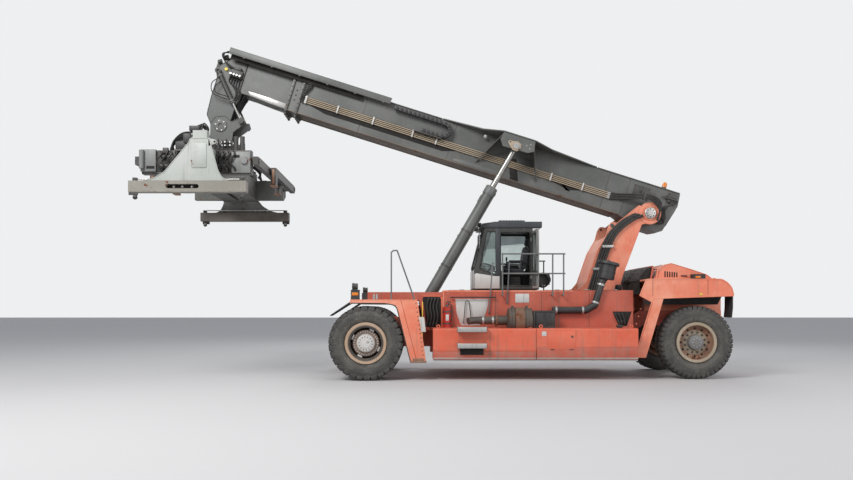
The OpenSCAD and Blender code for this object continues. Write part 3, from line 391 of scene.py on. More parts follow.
@dataclass(frozen=True)
class Paint(Finish):
    """A painted, cast or bare metal surface and how the weather has treated it."""

    ground: Colour
    faded: Colour
    gloss: float = 0.45
    fading: float = 0.6
    streaks: float = 0.45
    dusting: float = 0.5
    rusting: float = 0.25
    edges: float = 0.7
    dust: Colour = (0.3, 0.25, 0.2)
    rust: Colour = (0.2, 0.075, 0.03)
    metallic: float = 0.0
    relief: float = 0.12
    zone: Zone | None = None

    def build(self) -> bpy.types.Material:
        """Makes the material."""
        material, graph, shader = self.start()
        inputs = {title: getattr(self, title.lower()) for title in (*WEATHER_COLOURS, *WEATHER_SHARES)}
        if self.zone:
            share = self.zone.mask(graph)
            inputs["Ground"] = graph.mix(share, self.ground, self.zone.ground)
            inputs["Faded"] = graph.mix(share, self.faded, self.zone.faded)
        weather = graph.node("Group", inputs, node_tree=GROUPS.weather()).outputs
        graph.feeds(shader, {"Base Color": weather["Color"], "Roughness": weather["Roughness"]})
        if self.metallic:
            shine = graph.times(graph.minus(1.0, weather["Bare"]), self.metallic)
            graph.feed(shader.inputs["Metallic"], shine)
        graph.bump(shader, weather["Height"], self.relief, 0.01)
        return material


@dataclass(frozen=True)
class TyreRubber(Finish):
    """Dusty tyre rubber with rings on the side wall about one wheel's axle."""

    axle_x: float
    ground: Colour = (0.035, 0.034, 0.032)
    dusty: Colour = (0.2, 0.185, 0.16)

    def build(self) -> bpy.types.Material:
        """Makes the material."""
        material, graph, shader = self.start()
        radius = GROUPS.radius(graph, self.axle_x)
        place = graph.place()
        clouds = graph.noise(place, 3.0, 8.0, 0.65)
        fine = graph.noise(place, 38.0, 6.0, 0.65)
        wall = graph.times(graph.ramp(radius, 0.84, 0.7), graph.ramp(clouds, 0.3, 0.75))
        band = graph.times(graph.ramp(radius, 0.6, 0.575), graph.ramp(radius, 0.5, 0.53))
        dust = graph.plus(graph.times(wall, 0.75), graph.times(band, 0.25), True)
        dust = graph.times(graph.plus(dust, 0.12), graph.ramp(fine, 0.2, 0.75), True)
        graph.feeds(shader, {"Base Color": graph.mix(dust, self.ground, self.dusty),
                             "Roughness": graph.plus(0.72, graph.times(dust, 0.2))})
        ribs = graph.math("SINE", graph.times(radius, 420.0))
        ribs = graph.times(ribs, graph.times(graph.ramp(radius, 0.66, 0.65), 0.25))
        graph.bump(shader, graph.plus(ribs, graph.times(fine, 0.5)), 0.35, 0.006)
        return material


@dataclass(frozen=True)
class Plain(Finish):
    """A surface with one ground colour, a second one in clouds, and a fine relief."""

    ground: Colour
    second: Colour
    rough: float = 0.5
    metallic: float = 0.0
    scale: float = 12.0
    relief: float = 0.08
    transmission: float = 0.0

    def build(self) -> bpy.types.Material:
        """Makes the material."""
        material, graph, shader = self.start()
        place = graph.place()
        clouds = graph.noise(place, self.scale, 7.0, 0.62)
        rough = graph.plus(self.rough, graph.times(graph.minus(clouds, 0.5), 0.2), True)
        colour = graph.mix(graph.ramp(clouds, 0.35, 0.72), self.ground, self.second)
        graph.feeds(shader, {"Base Color": colour, "Roughness": rough, "Metallic": self.metallic,
                             "Transmission Weight": self.transmission})
        graph.bump(shader, graph.noise(place, self.scale * 9.0, 4.0, 0.6), self.relief, 0.004)
        return material


@dataclass(frozen=True)
class Cloth(Finish):
    """Woven seat cloth, its threads crossing in two directions."""

    ground: Colour
    thread: Colour
    scale: float = 700.0

    def build(self) -> bpy.types.Material:
        """Makes the material."""
        material, graph, shader = self.start()
        place = graph.place()
        axes = graph.axes(place)
        along = graph.math("SINE", graph.times(graph.plus(axes["X"], axes["Z"]), self.scale))
        across = graph.math("SINE", graph.times(axes["Y"], self.scale))
        weave = graph.times(along, across)
        share = graph.plus(graph.times(weave, 0.3), graph.times(graph.noise(place, 14.0, 6.0, 0.6), 0.6),
                           True)
        graph.feeds(shader, {"Base Color": graph.mix(share, self.ground, self.thread),
                             "Roughness": 0.9, "Sheen Weight": 0.25})
        graph.bump(shader, weave, 0.3, 0.001)
        return material


FINISHES = {finish.name: finish for finish in (
    Paint("chassis_paint", (0.72, 0.118, 0.056), (0.83, 0.215, 0.125), 0.44, fading=0.5, streaks=0.6,
          dusting=0.42),
    # painted shade: a darker copy of the tank red for the lower band, which slopes inward into shade
    Paint("skirt_paint", (0.5, 0.08, 0.04), (0.58, 0.15, 0.095), 0.5, streaks=0.8, dusting=0.7),
    Paint("body_paint", (0.8, 0.205, 0.112), (0.9, 0.4, 0.265), 0.5, fading=0.75, streaks=0.45, dusting=0.4),
    Paint("shaded_red", (0.5, 0.092, 0.052), (0.6, 0.165, 0.105), 0.52, rusting=0.4, streaks=0.7),
    Paint("red_paint", (0.42, 0.018, 0.014), (0.5, 0.05, 0.035), 0.25, rusting=0.05, streaks=0.3),
    Paint("grey_paint", (0.13, 0.135, 0.135), (0.22, 0.22, 0.21), 0.48),
    Paint("cab_paint", (0.042, 0.045, 0.04), (0.075, 0.077, 0.07), 0.42, rusting=0.12, edges=0.4,
          dusting=0.25),
    Paint("white_paint", (0.58, 0.565, 0.53), (0.7, 0.68, 0.65), 0.42, rusting=0.08, streaks=0.7, edges=0.4),
    Paint("roof_paint", (0.035, 0.042, 0.048), (0.07, 0.075, 0.08), 0.5, rusting=0.05, edges=0.3),
    Paint("boom_paint", (0.088, 0.092, 0.086), (0.165, 0.168, 0.158), 0.46, streaks=0.75, dusting=0.4,
          rusting=0.38),
    Paint("boom_dark", (0.045, 0.045, 0.042), (0.085, 0.08, 0.075), 0.5, rusting=0.4, streaks=0.8),
    Paint("sleeve_paint", (0.075, 0.078, 0.07), (0.15, 0.15, 0.135), 0.5, streaks=0.8, rusting=0.55,
          edges=1.0, dusting=0.45),
    Paint("spreader_paint", (0.4, 0.42, 0.385), (0.53, 0.54, 0.51), 0.5, streaks=0.7, rusting=0.58, edges=1.0,
          dusting=0.35,
          zone=Zone(4.0, 4.3, (0.235, 0.22, 0.185), (0.35, 0.335, 0.295))),
    # partly painted shade: the pods' grey is taken darker to match how they look in shade
    Paint("pod_shade_paint", (0.21, 0.22, 0.21), (0.31, 0.315, 0.3), 0.5, streaks=0.8, rusting=0.5, edges=0.9),
    # painted shade: a darker copy of the spreader paint for the far beam, which lies in shadow; its end beam
    # band darker still
    Paint("far_gable_paint", (0.2, 0.205, 0.185), (0.3, 0.3, 0.275), 0.5, streaks=0.7, rusting=0.5, edges=0.9,
          zone=Zone(4.0, 4.3, (0.1, 0.085, 0.07), (0.19, 0.165, 0.14))),
    Paint("tan_paint", (0.36, 0.285, 0.195), (0.5, 0.42, 0.32), 0.55, rusting=0.35, dusting=0.6),
    # painted shade: the near-black ring between radii 0.296 and 0.398 stands for the shade in the rim's
    # recess
    Paint("front_rim_paint_shaded_well", (0.46, 0.3, 0.19), (0.58, 0.44, 0.32), 0.55, rusting=0.45, dusting=0.5,
          zone=Zone(0.296, 0.398, (0.035, 0.03, 0.026), (0.06, 0.052, 0.045), AXLE_X)),
    Paint("rusty_paint", (0.26, 0.115, 0.062), (0.42, 0.27, 0.18), 0.65, rusting=0.6, dusting=0.7),
    Paint("shield_paint", (0.15, 0.062, 0.032), (0.22, 0.115, 0.07), 0.65, rusting=0.7, dusting=0.3),
    Paint("flange_paint", (0.115, 0.092, 0.07), (0.22, 0.18, 0.14), 0.6, rusting=0.6, dusting=0.6),
    Paint("dark_steel", (0.045, 0.044, 0.042), (0.09, 0.085, 0.08), 0.5, rusting=0.4, edges=0.8, dusting=0.4),
    Paint("cast_block", (0.12, 0.12, 0.12), (0.17, 0.17, 0.16), 0.6),
    Paint("bare_metal", (0.42, 0.42, 0.41), (0.55, 0.54, 0.52), 0.38, metallic=0.75, rusting=0.1, edges=0.2,
          dusting=0.4),
    Paint("sooty_metal", (0.062, 0.054, 0.048), (0.13, 0.105, 0.085), 0.5, metallic=0.2, rusting=0.7,
          dusting=0.35),
    Paint("black_plastic", (0.018, 0.018, 0.019), (0.045, 0.044, 0.043), 0.5, rusting=0.0, edges=0.15,
          streaks=0.3, dusting=0.45),
    Paint("black_rubber", (0.016, 0.016, 0.016), (0.05, 0.048, 0.045), 0.7, rusting=0.0, edges=0.0,
          streaks=0.2, dusting=0.6),
    Plain("bright_steel", (0.34, 0.335, 0.32), (0.26, 0.25, 0.235), 0.34, 1.0, 5.0, 0.0),
    Plain("amber_plastic", (0.85, 0.27, 0.02), (0.75, 0.2, 0.015), 0.25, scale=8.0),
    Plain("yellow_plastic", (0.8, 0.62, 0.05), (0.7, 0.5, 0.04), 0.35),
    Plain("lamp_glass", (0.75, 0.76, 0.74), (0.62, 0.63, 0.62), 0.12, 0.2, 30.0),
    Plain("red_glass", (0.45, 0.015, 0.012), (0.35, 0.01, 0.01), 0.15, scale=30.0),
    Plain("mirror_glass", (0.75, 0.77, 0.78), (0.68, 0.7, 0.72), 0.05, 1.0),
    Plain("window_glass", (0.62, 0.7, 0.68), (0.52, 0.6, 0.58), 0.06, 0.0, 3.0, 0.02, transmission=0.92),
    # painted shade: near-black that stands for the shade inside openings, slots, holes and recesses; the
    # radiator and the plate under the steps get it too
    Plain("engine_gloom", (0.012, 0.011, 0.01), (0.03, 0.026, 0.022), 0.9),
    Plain("shadow_grey", (0.03, 0.03, 0.03), (0.05, 0.05, 0.05), 0.8),
    Cloth("seat_cloth", (0.018, 0.019, 0.022), (0.06, 0.062, 0.07)),
    TyreRubber("front_tyre_rubber", AXLE_X),
    TyreRubber("rear_tyre_rubber", REAR_X),
)}


def finish(name: str) -> bpy.types.Material:
    """Gives a finish's material, built at its first use.

    Args:
        name: the finish's name.

    Returns:
        The material.
    """
    return bpy.data.materials.get("look_" + name) or FINISHES[name].build()


class Workshop:
    """The modelling tools: each makes one finished piece on a bench scene, its place in its mesh."""

    def __init__(self) -> None:
        """Starts without a bench and without models to copy."""
        self.shown: bpy.types.Scene | None = None
        self.models: dict[str, Piece] = {}

    def open(self) -> None:
        """Opens the bench, where few objects are about, so that each step is quick."""
        self.shown = bpy.context.scene
        bpy.context.window.scene = bpy.data.scenes.new("bench")

    def deliver(self, piece: Piece) -> None:
        """Takes a finished piece from the bench to the shown scene."""
        bpy.context.scene.collection.objects.unlink(piece)
        self.shown.collection.objects.link(piece)

    def close(self) -> None:
        """Clears the bench away and returns to the shown scene."""
        bench = bpy.context.scene
        bpy.context.window.scene = self.shown
        for model in self.models.values():
            bpy.data.objects.remove(model)
        bpy.data.scenes.remove(bench)

    def stamped(self, name: str, model: Piece, places: Iterable[Matrix]) -> list[Piece]:
        """Copies of a model, each with its own mesh.

        Args:
            name: the copies' name.
            model: what is copied.
            places: where each copy goes.

        Returns:
            The copies.
        """
        made = []
        for matrix in places:
            other = model.copy()
            other.data = model.data.copy()
            other.name = name
            bpy.context.scene.collection.objects.link(other)
            self.place(other, matrix)
            made.append(other)
        return made

    @staticmethod
    def only(piece: Piece) -> None:
        """Selects one object and makes it active."""
        bpy.ops.object.select_all(action="DESELECT")
        piece.select_set(True)
        bpy.context.view_layer.objects.active = piece

    @staticmethod
    def place(piece: Piece, matrix: Matrix) -> None:
        """Moves a piece's mesh, and leaves its object at the origin.

        Args:
            piece: the piece, its own object unturned and unscaled.
            matrix: where the mesh goes.
        """
        piece.data.transform(matrix)
        if matrix.determinant() < 0:
            piece.data.flip_normals()

    def named(self, name: str) -> Piece:
        """Names the active object and puts its place into its mesh."""
        piece = bpy.context.view_layer.objects.active
        piece.name = name
        bpy.ops.object.transform_apply(location=True, rotation=True, scale=True)
        return piece

    def round_edges(self, piece: Piece, width: float) -> None:
        """Bevels the sharp edges of a piece and smooths its round faces.

        Args:
            piece: the piece.
            width: the bevel's width.
        """
        if width > 0:
            bevel = piece.modifiers.new("edges", "BEVEL")
            bevel.width = width
            bevel.segments = 2
            bevel.limit_method = "ANGLE"
            bevel.angle_limit = math.radians(BEVEL_ANGLE)
            bevel.harden_normals = False
            self.only(piece)
            bpy.ops.object.modifier_apply(modifier=bevel.name)
        self.only(piece)
        bpy.ops.object.shade_smooth_by_angle(angle=math.radians(SMOOTH_ANGLE))

    def block(self, name: str, low: Point, high: Point, bevel: float) -> Piece:
        """A block between two corners with rounded edges.

        Args:
            name: the piece's name.
            low: lowest corner.
            high: highest corner.
            bevel: width of the rounded edges.

        Returns:
            The piece.
        """
        a, b = Vector(low), Vector(high)
        bpy.ops.object.select_all(action="DESELECT")
        bpy.ops.mesh.primitive_cube_add(size=1.0, location=(a + b) / 2)
        bpy.context.object.scale = b - a
        piece = self.named(name)
        self.round_edges(piece, min(bevel, 0.45 * min(b - a)))
        return piece

    def slab(self, name: str, outline: Sequence[Pair], low: float, high: float, bevel: float) -> Piece:
        """A plate cut to an outline and drawn out to its thickness.

        Args:
            name: the piece's name.
            outline: corners as X and Z.
            low: where the plate starts along Y.
            high: where it ends.
            bevel: width of the rounded edges.

        Returns:
            The piece.
        """
        bpy.ops.object.select_all(action="DESELECT")
        bpy.ops.mesh.primitive_circle_add(vertices=len(outline), radius=1.0, fill_type="NGON")
        piece = self.named(name)
        for corner, (u, v) in zip(piece.data.vertices, outline):
            corner.co = (u, low, v)
        bpy.ops.object.mode_set(mode="EDIT")
        bpy.ops.mesh.select_all(action="SELECT")
        bpy.ops.mesh.extrude_region_move(TRANSFORM_OT_translate={"value": (0, high - low, 0)})
        bpy.ops.mesh.select_all(action="SELECT")
        bpy.ops.mesh.normals_make_consistent(inside=False)
        bpy.ops.object.mode_set(mode="OBJECT")
        self.round_edges(piece, min(bevel, 0.3 * abs(high - low)))
        return piece

    def turned(self, name: str, section: Sequence[Pair], steps: int, centre: Point = (0, 0, 0),
               axis: Point = UP, bevel: float = 0.0) -> Piece:
        """A closed section turned about an axis, as on a lathe.

        Args:
            name: the piece's name.
            section: corners as radius and height along the axis.
            steps: faces round the axis.
            centre: point of height 0 on the axis.
            axis: the axis's direction.
            bevel: width of the rounded edges.

        Returns:
            The piece.
        """
        bpy.ops.object.select_all(action="DESELECT")
        bpy.ops.mesh.primitive_circle_add(vertices=len(section), radius=1.0, fill_type="NOTHING")
        piece = self.named(name)
        for corner, (radius, height) in zip(piece.data.vertices, section):
            corner.co = (radius, 0, height)
        bpy.ops.object.mode_set(mode="EDIT")
        bpy.ops.mesh.select_all(action="SELECT")
        bpy.ops.mesh.spin(steps=steps, angle=math.tau, center=(0, 0, 0), axis=UP)
        bpy.ops.mesh.select_all(action="SELECT")
        bpy.ops.mesh.remove_doubles(threshold=0.0001)
        bpy.ops.mesh.select_all(action="SELECT")
        bpy.ops.mesh.normals_make_consistent(inside=False)
        bpy.ops.object.mode_set(mode="OBJECT")
        self.round_edges(piece, bevel)
        turn = Vector(UP).rotation_difference(Vector(axis).normalized()).to_matrix().to_4x4()
        self.place(piece, Matrix.Translation(centre) @ turn)
        return piece

    def turned_at(self, name: str, section: Sequence[Pair], count: int, spots: Sequence[tuple[Point, Point]],
                  bevel: float = 0.0) -> Piece:
        """One section turned about several spots, as one piece.

        Args:
            name: the piece's name.
            section: corners as radius and height along the axis.
            count: faces round the axis.
            spots: place and direction of each axis.
            bevel: width of the rounded edges.

        Returns:
            The piece.
        """
        return self.joined(name, [self.turned(name, section, count, spot, way, bevel) for spot, way in spots])

    def rod(self, name: str, start: Point, end: Point, radius: float, steps: int = 24) -> Piece:
        """A round bar with chamfered ends.

        Args:
            name: the piece's name.
            start: middle of one end.
            end: middle of the other end.
            radius: the bar's radius.
            steps: faces round it.

        Returns:
            The piece.
        """
        run = Vector(end) - Vector(start)
        cut = min(CHAMFER, radius * 0.4)
        section = [(0, 0), (radius - cut, 0), (radius, cut), (radius, run.length - cut),
                   (radius - cut, run.length), (0, run.length)]
        return self.turned(name, section, steps, start, tuple(run))

    def pipe(self, name: str, points: Sequence[Point], radius: float, bend: float = 0.05,
             sides: int = 3) -> Piece:
        """A bent tube through a list of points, its corners rounded.

        Args:
            name: the piece's name.
            points: the corners of its route.
            radius: the tube's radius.
            bend: how far before each corner the bend starts.
            sides: smoothness of its round section.

        Returns:
            The piece.
        """
        route: list[Vector] = []
        corners = [Vector(p) for p in points]
        for i, corner in enumerate(corners):
            if i in (0, len(corners) - 1):
                route.append(corner)
                continue
            back, ahead = corners[i - 1] - corner, corners[i + 1] - corner
            reach = min(bend, back.length * 0.45, ahead.length * 0.45)
            start, end = corner + back.normalized() * reach, corner + ahead.normalized() * reach
            for k in range(5):
                t = k / 4
                route.append(start * (1 - t) ** 2 + corner * 2 * t * (1 - t) + end * t ** 2)
        bpy.ops.object.select_all(action="DESELECT")
        bpy.ops.curve.primitive_nurbs_path_add()
        curve = bpy.context.object.data
        curve.splines.clear()
        spline = curve.splines.new("POLY")
        spline.points.add(len(route) - 1)
        for knot, spot in zip(spline.points, route):
            knot.co = (*spot, 1.0)
        curve.bevel_depth = radius
        curve.bevel_resolution = sides
        curve.use_fill_caps = True
        bpy.ops.object.convert(target="MESH")
        piece = self.named(name)
        bpy.ops.object.shade_smooth_by_angle(angle=math.radians(PIPE_SMOOTH_ANGLE))
        return piece

    def hose(self, name: str, points: Sequence[Point], radius: float) -> Piece:
        """A hose on one smooth curve through a few points, with a crimped fitting at each end.

        Args:
            name: the piece's name.
            points: points that the hose passes through.
            radius: the hose's radius.

        Returns:
            The piece.
        """
        knots = [Vector(p) for p in points]
        line: list[Point] = []
        for i in range(len(knots) - 1):
            before, a = knots[max(i - 1, 0)], knots[i]
            b, after = knots[i + 1], knots[min(i + 2, len(knots) - 1)]
            for k in range(7):
                t = k / 7
                line.append(tuple(0.5 * (2 * a + (b - before) * t
                                         + (2 * before - 5 * a + 4 * b - after) * t ** 2
                                         + (3 * a - before - 3 * b + after) * t ** 3)))
        line.append(tuple(knots[-1]))
        body = self.pipe(name, line, radius, 0.001)
        up, size = Vector(UP), Matrix.Diagonal((radius, radius, radius, 1.0))
        places = []
        for end, inner in ((Vector(line[0]), Vector(line[2])), (Vector(line[-1]), Vector(line[-3]))):
            places.append(Matrix.Translation(end) @ up.rotation_difference(inner - end).to_matrix().to_4x4()
                          @ size)
        return self.joined(name, [body, *self.stamped(name, self.ferrule(), places)])

    def joined(self, name: str, pieces: Sequence[Piece]) -> Piece:
        """Joins several meshes into one piece.

        Args:
            name: the piece's name.
            pieces: the meshes.

        Returns:
            The piece.
        """
        bpy.ops.object.select_all(action="DESELECT")
        for piece in pieces:
            piece.select_set(True)
        bpy.context.view_layer.objects.active = pieces[0]
        if len(pieces) > 1:
            bpy.ops.object.join()
        pieces[0].name = name
        return pieces[0]

    def copies(self, name: str, model: Piece, places: Iterable[Matrix]) -> Piece:
        """Copies a modelled piece to several places and joins the copies.

        Args:
            name: the piece's name.
            model: the piece to copy, which is used up.
            places: where each copy goes.

        Returns:
            The piece.
        """
        made = self.stamped(name, model, places)
        bpy.data.objects.remove(model)
        return self.joined(name, made)

    def bolt(self) -> Piece:
        """A hexagon head on a washer, one unit wide and high along Z, modelled once."""
        if "bolt" not in self.models:
            head = self.turned("bolt", [(0, 0), (1.0, 0), (1.0, 0.8), (0.85, 1.0), (0, 1.0)], 6)
            washer = self.turned("washer", hoop(0, 1.3, -0.2, 0.2), 16)
            self.models["bolt"] = self.joined("bolt", [head, washer])
        return self.models["bolt"]

    def ferrule(self) -> Piece:
        """A hose's crimped end, one unit in radius and five long, modelled once."""
        if "ferrule" not in self.models:
            section = [(0, 0), (1.2, 0), (1.35, 0.2), (1.35, 1.6), (1.15, 1.8), (1.15, 2.2), (1.35, 2.4),
                       (1.35, 4.8), (1.2, 5.0), (0, 5.0)]
            self.models["ferrule"] = self.turned("ferrule", section, 12)
        return self.models["ferrule"]

    def bolts(self, name: str, spots: Sequence[tuple[Point, Point]], radius: float, height: float) -> Piece:
        """Bolt heads at several spots.

        Args:
            name: the piece's name.
            spots: place and outward direction of each head.
            radius: half the width of a head.
            height: height of a head.

        Returns:
            The piece.
        """
        up = Vector(UP)
        size = Matrix.Diagonal((radius, radius, height, 1.0))
        places = [Matrix.Translation(spot) @ up.rotation_difference(Vector(way)).to_matrix().to_4x4() @ size
                  for spot, way in spots]
        return self.joined(name, self.stamped(name, self.bolt(), places))

    def ring_spots(self, centre: Point, radius: float, count: int, way: Point,
                   start: float = 0.0) -> list[tuple[Point, Point]]:
        """Spots evenly round a circle that faces one way.

        Args:
            centre: the circle's middle.
            radius: the circle's radius.
            count: how many spots.
            way: the direction that the circle faces.
            start: angle of the first spot, in radians.

        Returns:
            Place and direction of each spot.
        """
        normal = Vector(way).normalized()
        side = normal.orthogonal().normalized()
        other = normal.cross(side)
        spots = []
        for i in range(count):
            turn = start + math.tau * i / count
            spots.append((tuple(Vector(centre) + side * radius * math.cos(turn)
                                + other * radius * math.sin(turn)), way))
        return spots


SHOP = Workshop()


def dress(piece: Piece, look: str, body: str, *replaced: str) -> None:
    """Gives a piece its finish and lets it ride on its body.

    Args:
        piece: the piece.
        look: the finish's name.
        body: the body that carries it.
        replaced: nodes that it stands for.
    """
    SHOP.deliver(piece)
    piece.data.materials.clear()
    piece.data.materials.append(finish(look))
    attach(piece, body)
    if replaced:
        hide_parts(*replaced)
    LOG.info("%s: %s on %s, %d faces", piece.name, look, body, len(piece.data.polygons))


@dataclass
class Stage:
    """Floor, lamps, world and the camera at the photograph's place."""

    camera_back: float = 20.4
    camera_height: float = 1.62
    camera_x: float = 1.097
    lens: float = 34.9
    shift: Pair = (0.0135, 0.0797)
    floor_tone: Colour = (0.62, 0.61, 0.6)
    sky_tone: Colour = (0.86, 0.9, 1.0)
    wall_tone: Colour = (0.9, 0.91, 0.92)
    sky_strength: float = 0.42
    wall_strength: float = 0.95
    floor_size: float = 240.0
    sensor: float = 36.0
    far_clip: float = 500.0

    def camera(self) -> None:
        """Sets the camera level with its lens shifted, as the photograph was taken."""
        bpy.ops.object.select_all(action="DESELECT")
        bpy.ops.object.camera_add(location=(self.camera_x + AXLE_X, -self.camera_back, self.camera_height),
                                  rotation=(math.pi / 2, 0, 0))
        camera = bpy.context.object
        camera.data.lens = self.lens
        camera.data.sensor_width = self.sensor
        camera.data.shift_x, camera.data.shift_y = self.shift
        camera.data.clip_end = self.far_clip
        bpy.context.scene.camera = camera

    def floor(self) -> None:
        """Lays a wide pale floor."""
        bpy.ops.object.select_all(action="DESELECT")
        bpy.ops.mesh.primitive_plane_add(size=self.floor_size, location=(0, 0, 0))
        plane = bpy.context.object
        plane.name = "studio_floor"
        material = bpy.data.materials.new("studio_floor")
        material.use_nodes = True
        shader = material.node_tree.nodes["Principled BSDF"]
        shader.inputs["Base Color"].default_value = (*self.floor_tone, 1.0)
        shader.inputs["Roughness"].default_value = 0.9
        plane.data.materials.append(material)

    def light(self) -> None:
        """Hangs one soft key lamp, two fills, and a pale world."""
        lamps = (
            ("key", (-9.0, -15.0, 15.0), (0.0, 0.0, 2.5), 7.0, 2900.0),
            ("fill", (14.0, -12.0, 7.0), (1.0, 0.0, 2.0), 10.0, 700.0),
            ("back", (4.0, 15.0, 14.0), (0.0, 0.0, 3.0), 10.0, 900.0),
        )
        for name, spot, aim, size, power in lamps:
            bpy.ops.object.select_all(action="DESELECT")
            bpy.ops.object.light_add(type="AREA", location=spot)
            lamp = bpy.context.object
            lamp.name = name
            lamp.data.size = size
            lamp.data.energy = power
            lamp.rotation_euler = (Vector(aim) - Vector(spot)).to_track_quat("-Z", "Y").to_euler()
        world = bpy.data.worlds.new("studio")
        bpy.context.scene.world = world
        world.use_nodes = True
        tree = world.node_tree
        tree.nodes.clear()
        graph = Graph(tree)
        seen = graph.node("LightPath").outputs
        direct = graph.math("MAXIMUM", seen["Is Glossy Ray"], seen["Is Transmission Ray"])
        direct = graph.math("MAXIMUM", seen["Is Camera Ray"], direct)
        ambient = graph.node("Background", {"Color": self.sky_tone, "Strength": self.sky_strength}).outputs[0]
        backdrop = graph.node("Background", {"Color": self.wall_tone,
                                             "Strength": self.wall_strength}).outputs[0]
        choice = graph.node("MixShader", {0: direct, 1: ambient, 2: backdrop})
        graph.node("OutputWorld", {0: choice.outputs[0]})

    def build(self) -> None:
        """Sets up the whole stage."""
        self.camera()
        self.floor()
        self.light()
        bpy.context.scene.view_settings.view_transform = "Standard"


NODE_LOOKS = {node: look for look, nodes in {
    "shaded_red": ("chassis_frame", "upper_body"),
    "dark_steel": ("front_axle", "boom_pin", "rear_axle", "knuckle_left", "knuckle_right", "damper_barrels",
                   "rotator", "legs_left", "legs_right"),
    "body_paint": ("front_fenders", "boom_tower", "counterweight"),
    "black_rubber": ("fender_flaps", "tower_hoses"),
    "chassis_paint": ("side_tanks",),
    "bare_metal": ("side_sills", "access_steps"),
    "engine_gloom": ("radiator",),
    "cast_block": ("engine_block",),
    "sooty_metal": ("exhaust",),
    "black_plastic": ("air_intake", "deck_lamps", "cab_console", "boom_lamps"),
    "grey_paint": ("deck_rails", "cab_door", "hose_tray"),
    "red_paint": ("extinguisher",),
    "cab_paint": ("cab_shell",),
    "seat_cloth": ("cab_seat",),
    "front_tyre_rubber": ("front_tyres_left", "front_tyres_right"),
    "rear_tyre_rubber": ("rear_tyre_left", "rear_tyre_right"),
    "front_rim_paint_shaded_well": ("front_rims_left", "front_rims_right"),
    "rusty_paint": ("rear_rim_left", "rear_rim_right"),
    "bright_steel": ("steering_rod", "lift_rod_left", "lift_rod_right", "damper_rods"),
    "boom_paint": ("outer_boom", "inner_boom", "lift_barrel_left", "lift_barrel_right", "head_yoke"),
    "tan_paint": ("boom_pipes",),
    "sleeve_paint": ("spreader_frame",),
    "spreader_paint": ("beam_left",),
    "far_gable_paint": ("beam_right",),
}.items() for node in nodes}


def dress_solids() -> None:
    """Gives every carried-over solid its finish."""
    for name, solid in frame["nodes"].items():
        look = finish(NODE_LOOKS[name])
        solid.data.materials.clear()
        solid.data.materials.append(look)
        for face in solid.data.polygons:
            face.material_index = 0


@dataclass
class Assembly:
    """A group of pieces that ride on one body and share one frame."""

    body: str = "machine"
    frame: Matrix = field(default_factory=lambda: Matrix.Translation((AXLE_X, 0.0, 0.0)))

    def add(self, piece: Piece, look: str, *replaced: str) -> None:
        """Puts a piece into the frame and dresses it.

        Args:
            piece: the piece, modelled about the frame's origin.
            look: its finish.
            replaced: nodes that it stands for.
        """
        SHOP.place(piece, self.frame)
        dress(piece, look, self.body, *replaced)

    def pair(self, piece: Piece, look: str) -> None:
        """Adds a piece and its mirror image on the machine's other side.

        Args:
            piece: the piece on one side.
            look: the finish of both.
        """
        for other in SHOP.stamped(piece.name + "_opposite", piece, [Matrix.Scale(-1.0, 4, OUTWARD)]):
            self.add(other, look)
        self.add(piece, look)

    def hose_set(self, name: str, radius: float, runs: Iterable[Sequence[Point]],
                 paired: bool = False) -> None:
        """Adds a rubber hose along each run, numbered from 0.

        Args:
            name: the hoses' common name.
            radius: their radius.
            runs: points that each hose passes through.
            paired: whether the other side gets them too.
        """
        for i, run in enumerate(runs):
            (self.pair if paired else self.add)(SHOP.hose(f"{name}_{i}", run, radius), "black_rubber")

    def bolt_ring(self, name: str, look: str, centre: Point, way: Point, ring: float, count: int,
                  radius: float,
                  height: float, paired: bool = False, start: float = 0.0) -> None:
        """Adds bolt heads evenly round a circle.

        Args:
            name: the piece's name.
            look: its finish.
            centre: the circle's middle.
            way: the direction that the circle and the heads face.
            ring: the circle's radius.
            count: how many heads.
            radius: half the width of a head.
            height: height of a head.
            paired: whether the other side gets them too.
            start: angle of the first head, in radians.
        """
        heads = SHOP.bolts(name, SHOP.ring_spots(centre, ring, count, way, start), radius, height)
        (self.pair if paired else self.add)(heads, look)

    def blocks(self, name: str, look: str, corners: Sequence[tuple[Point, Point]], bevel: float,
               paired: bool = False) -> None:
        """Adds several blocks as one piece.

        Args:
            name: the piece's name.
            look: its finish.
            corners: lowest and highest corner of each block.
            bevel: width of the rounded edges.
            paired: whether the other side gets them too.
        """
        piece = SHOP.joined(name, [SHOP.block(name, low, high, bevel) for low, high in corners])
        (self.pair if paired else self.add)(piece, look)


def wheel_frame(x: float, side: float) -> Matrix:
    """A frame on a wheel's axle with Y pointing outwards.

    Args:
        x: the axle's place along the machine.
        side: LEFT or RIGHT.

    Returns:
        The frame.
    """
    return Matrix.Translation((x, 0.0, AXLE_Z)) @ Matrix.Scale(side, 4, OUTWARD)


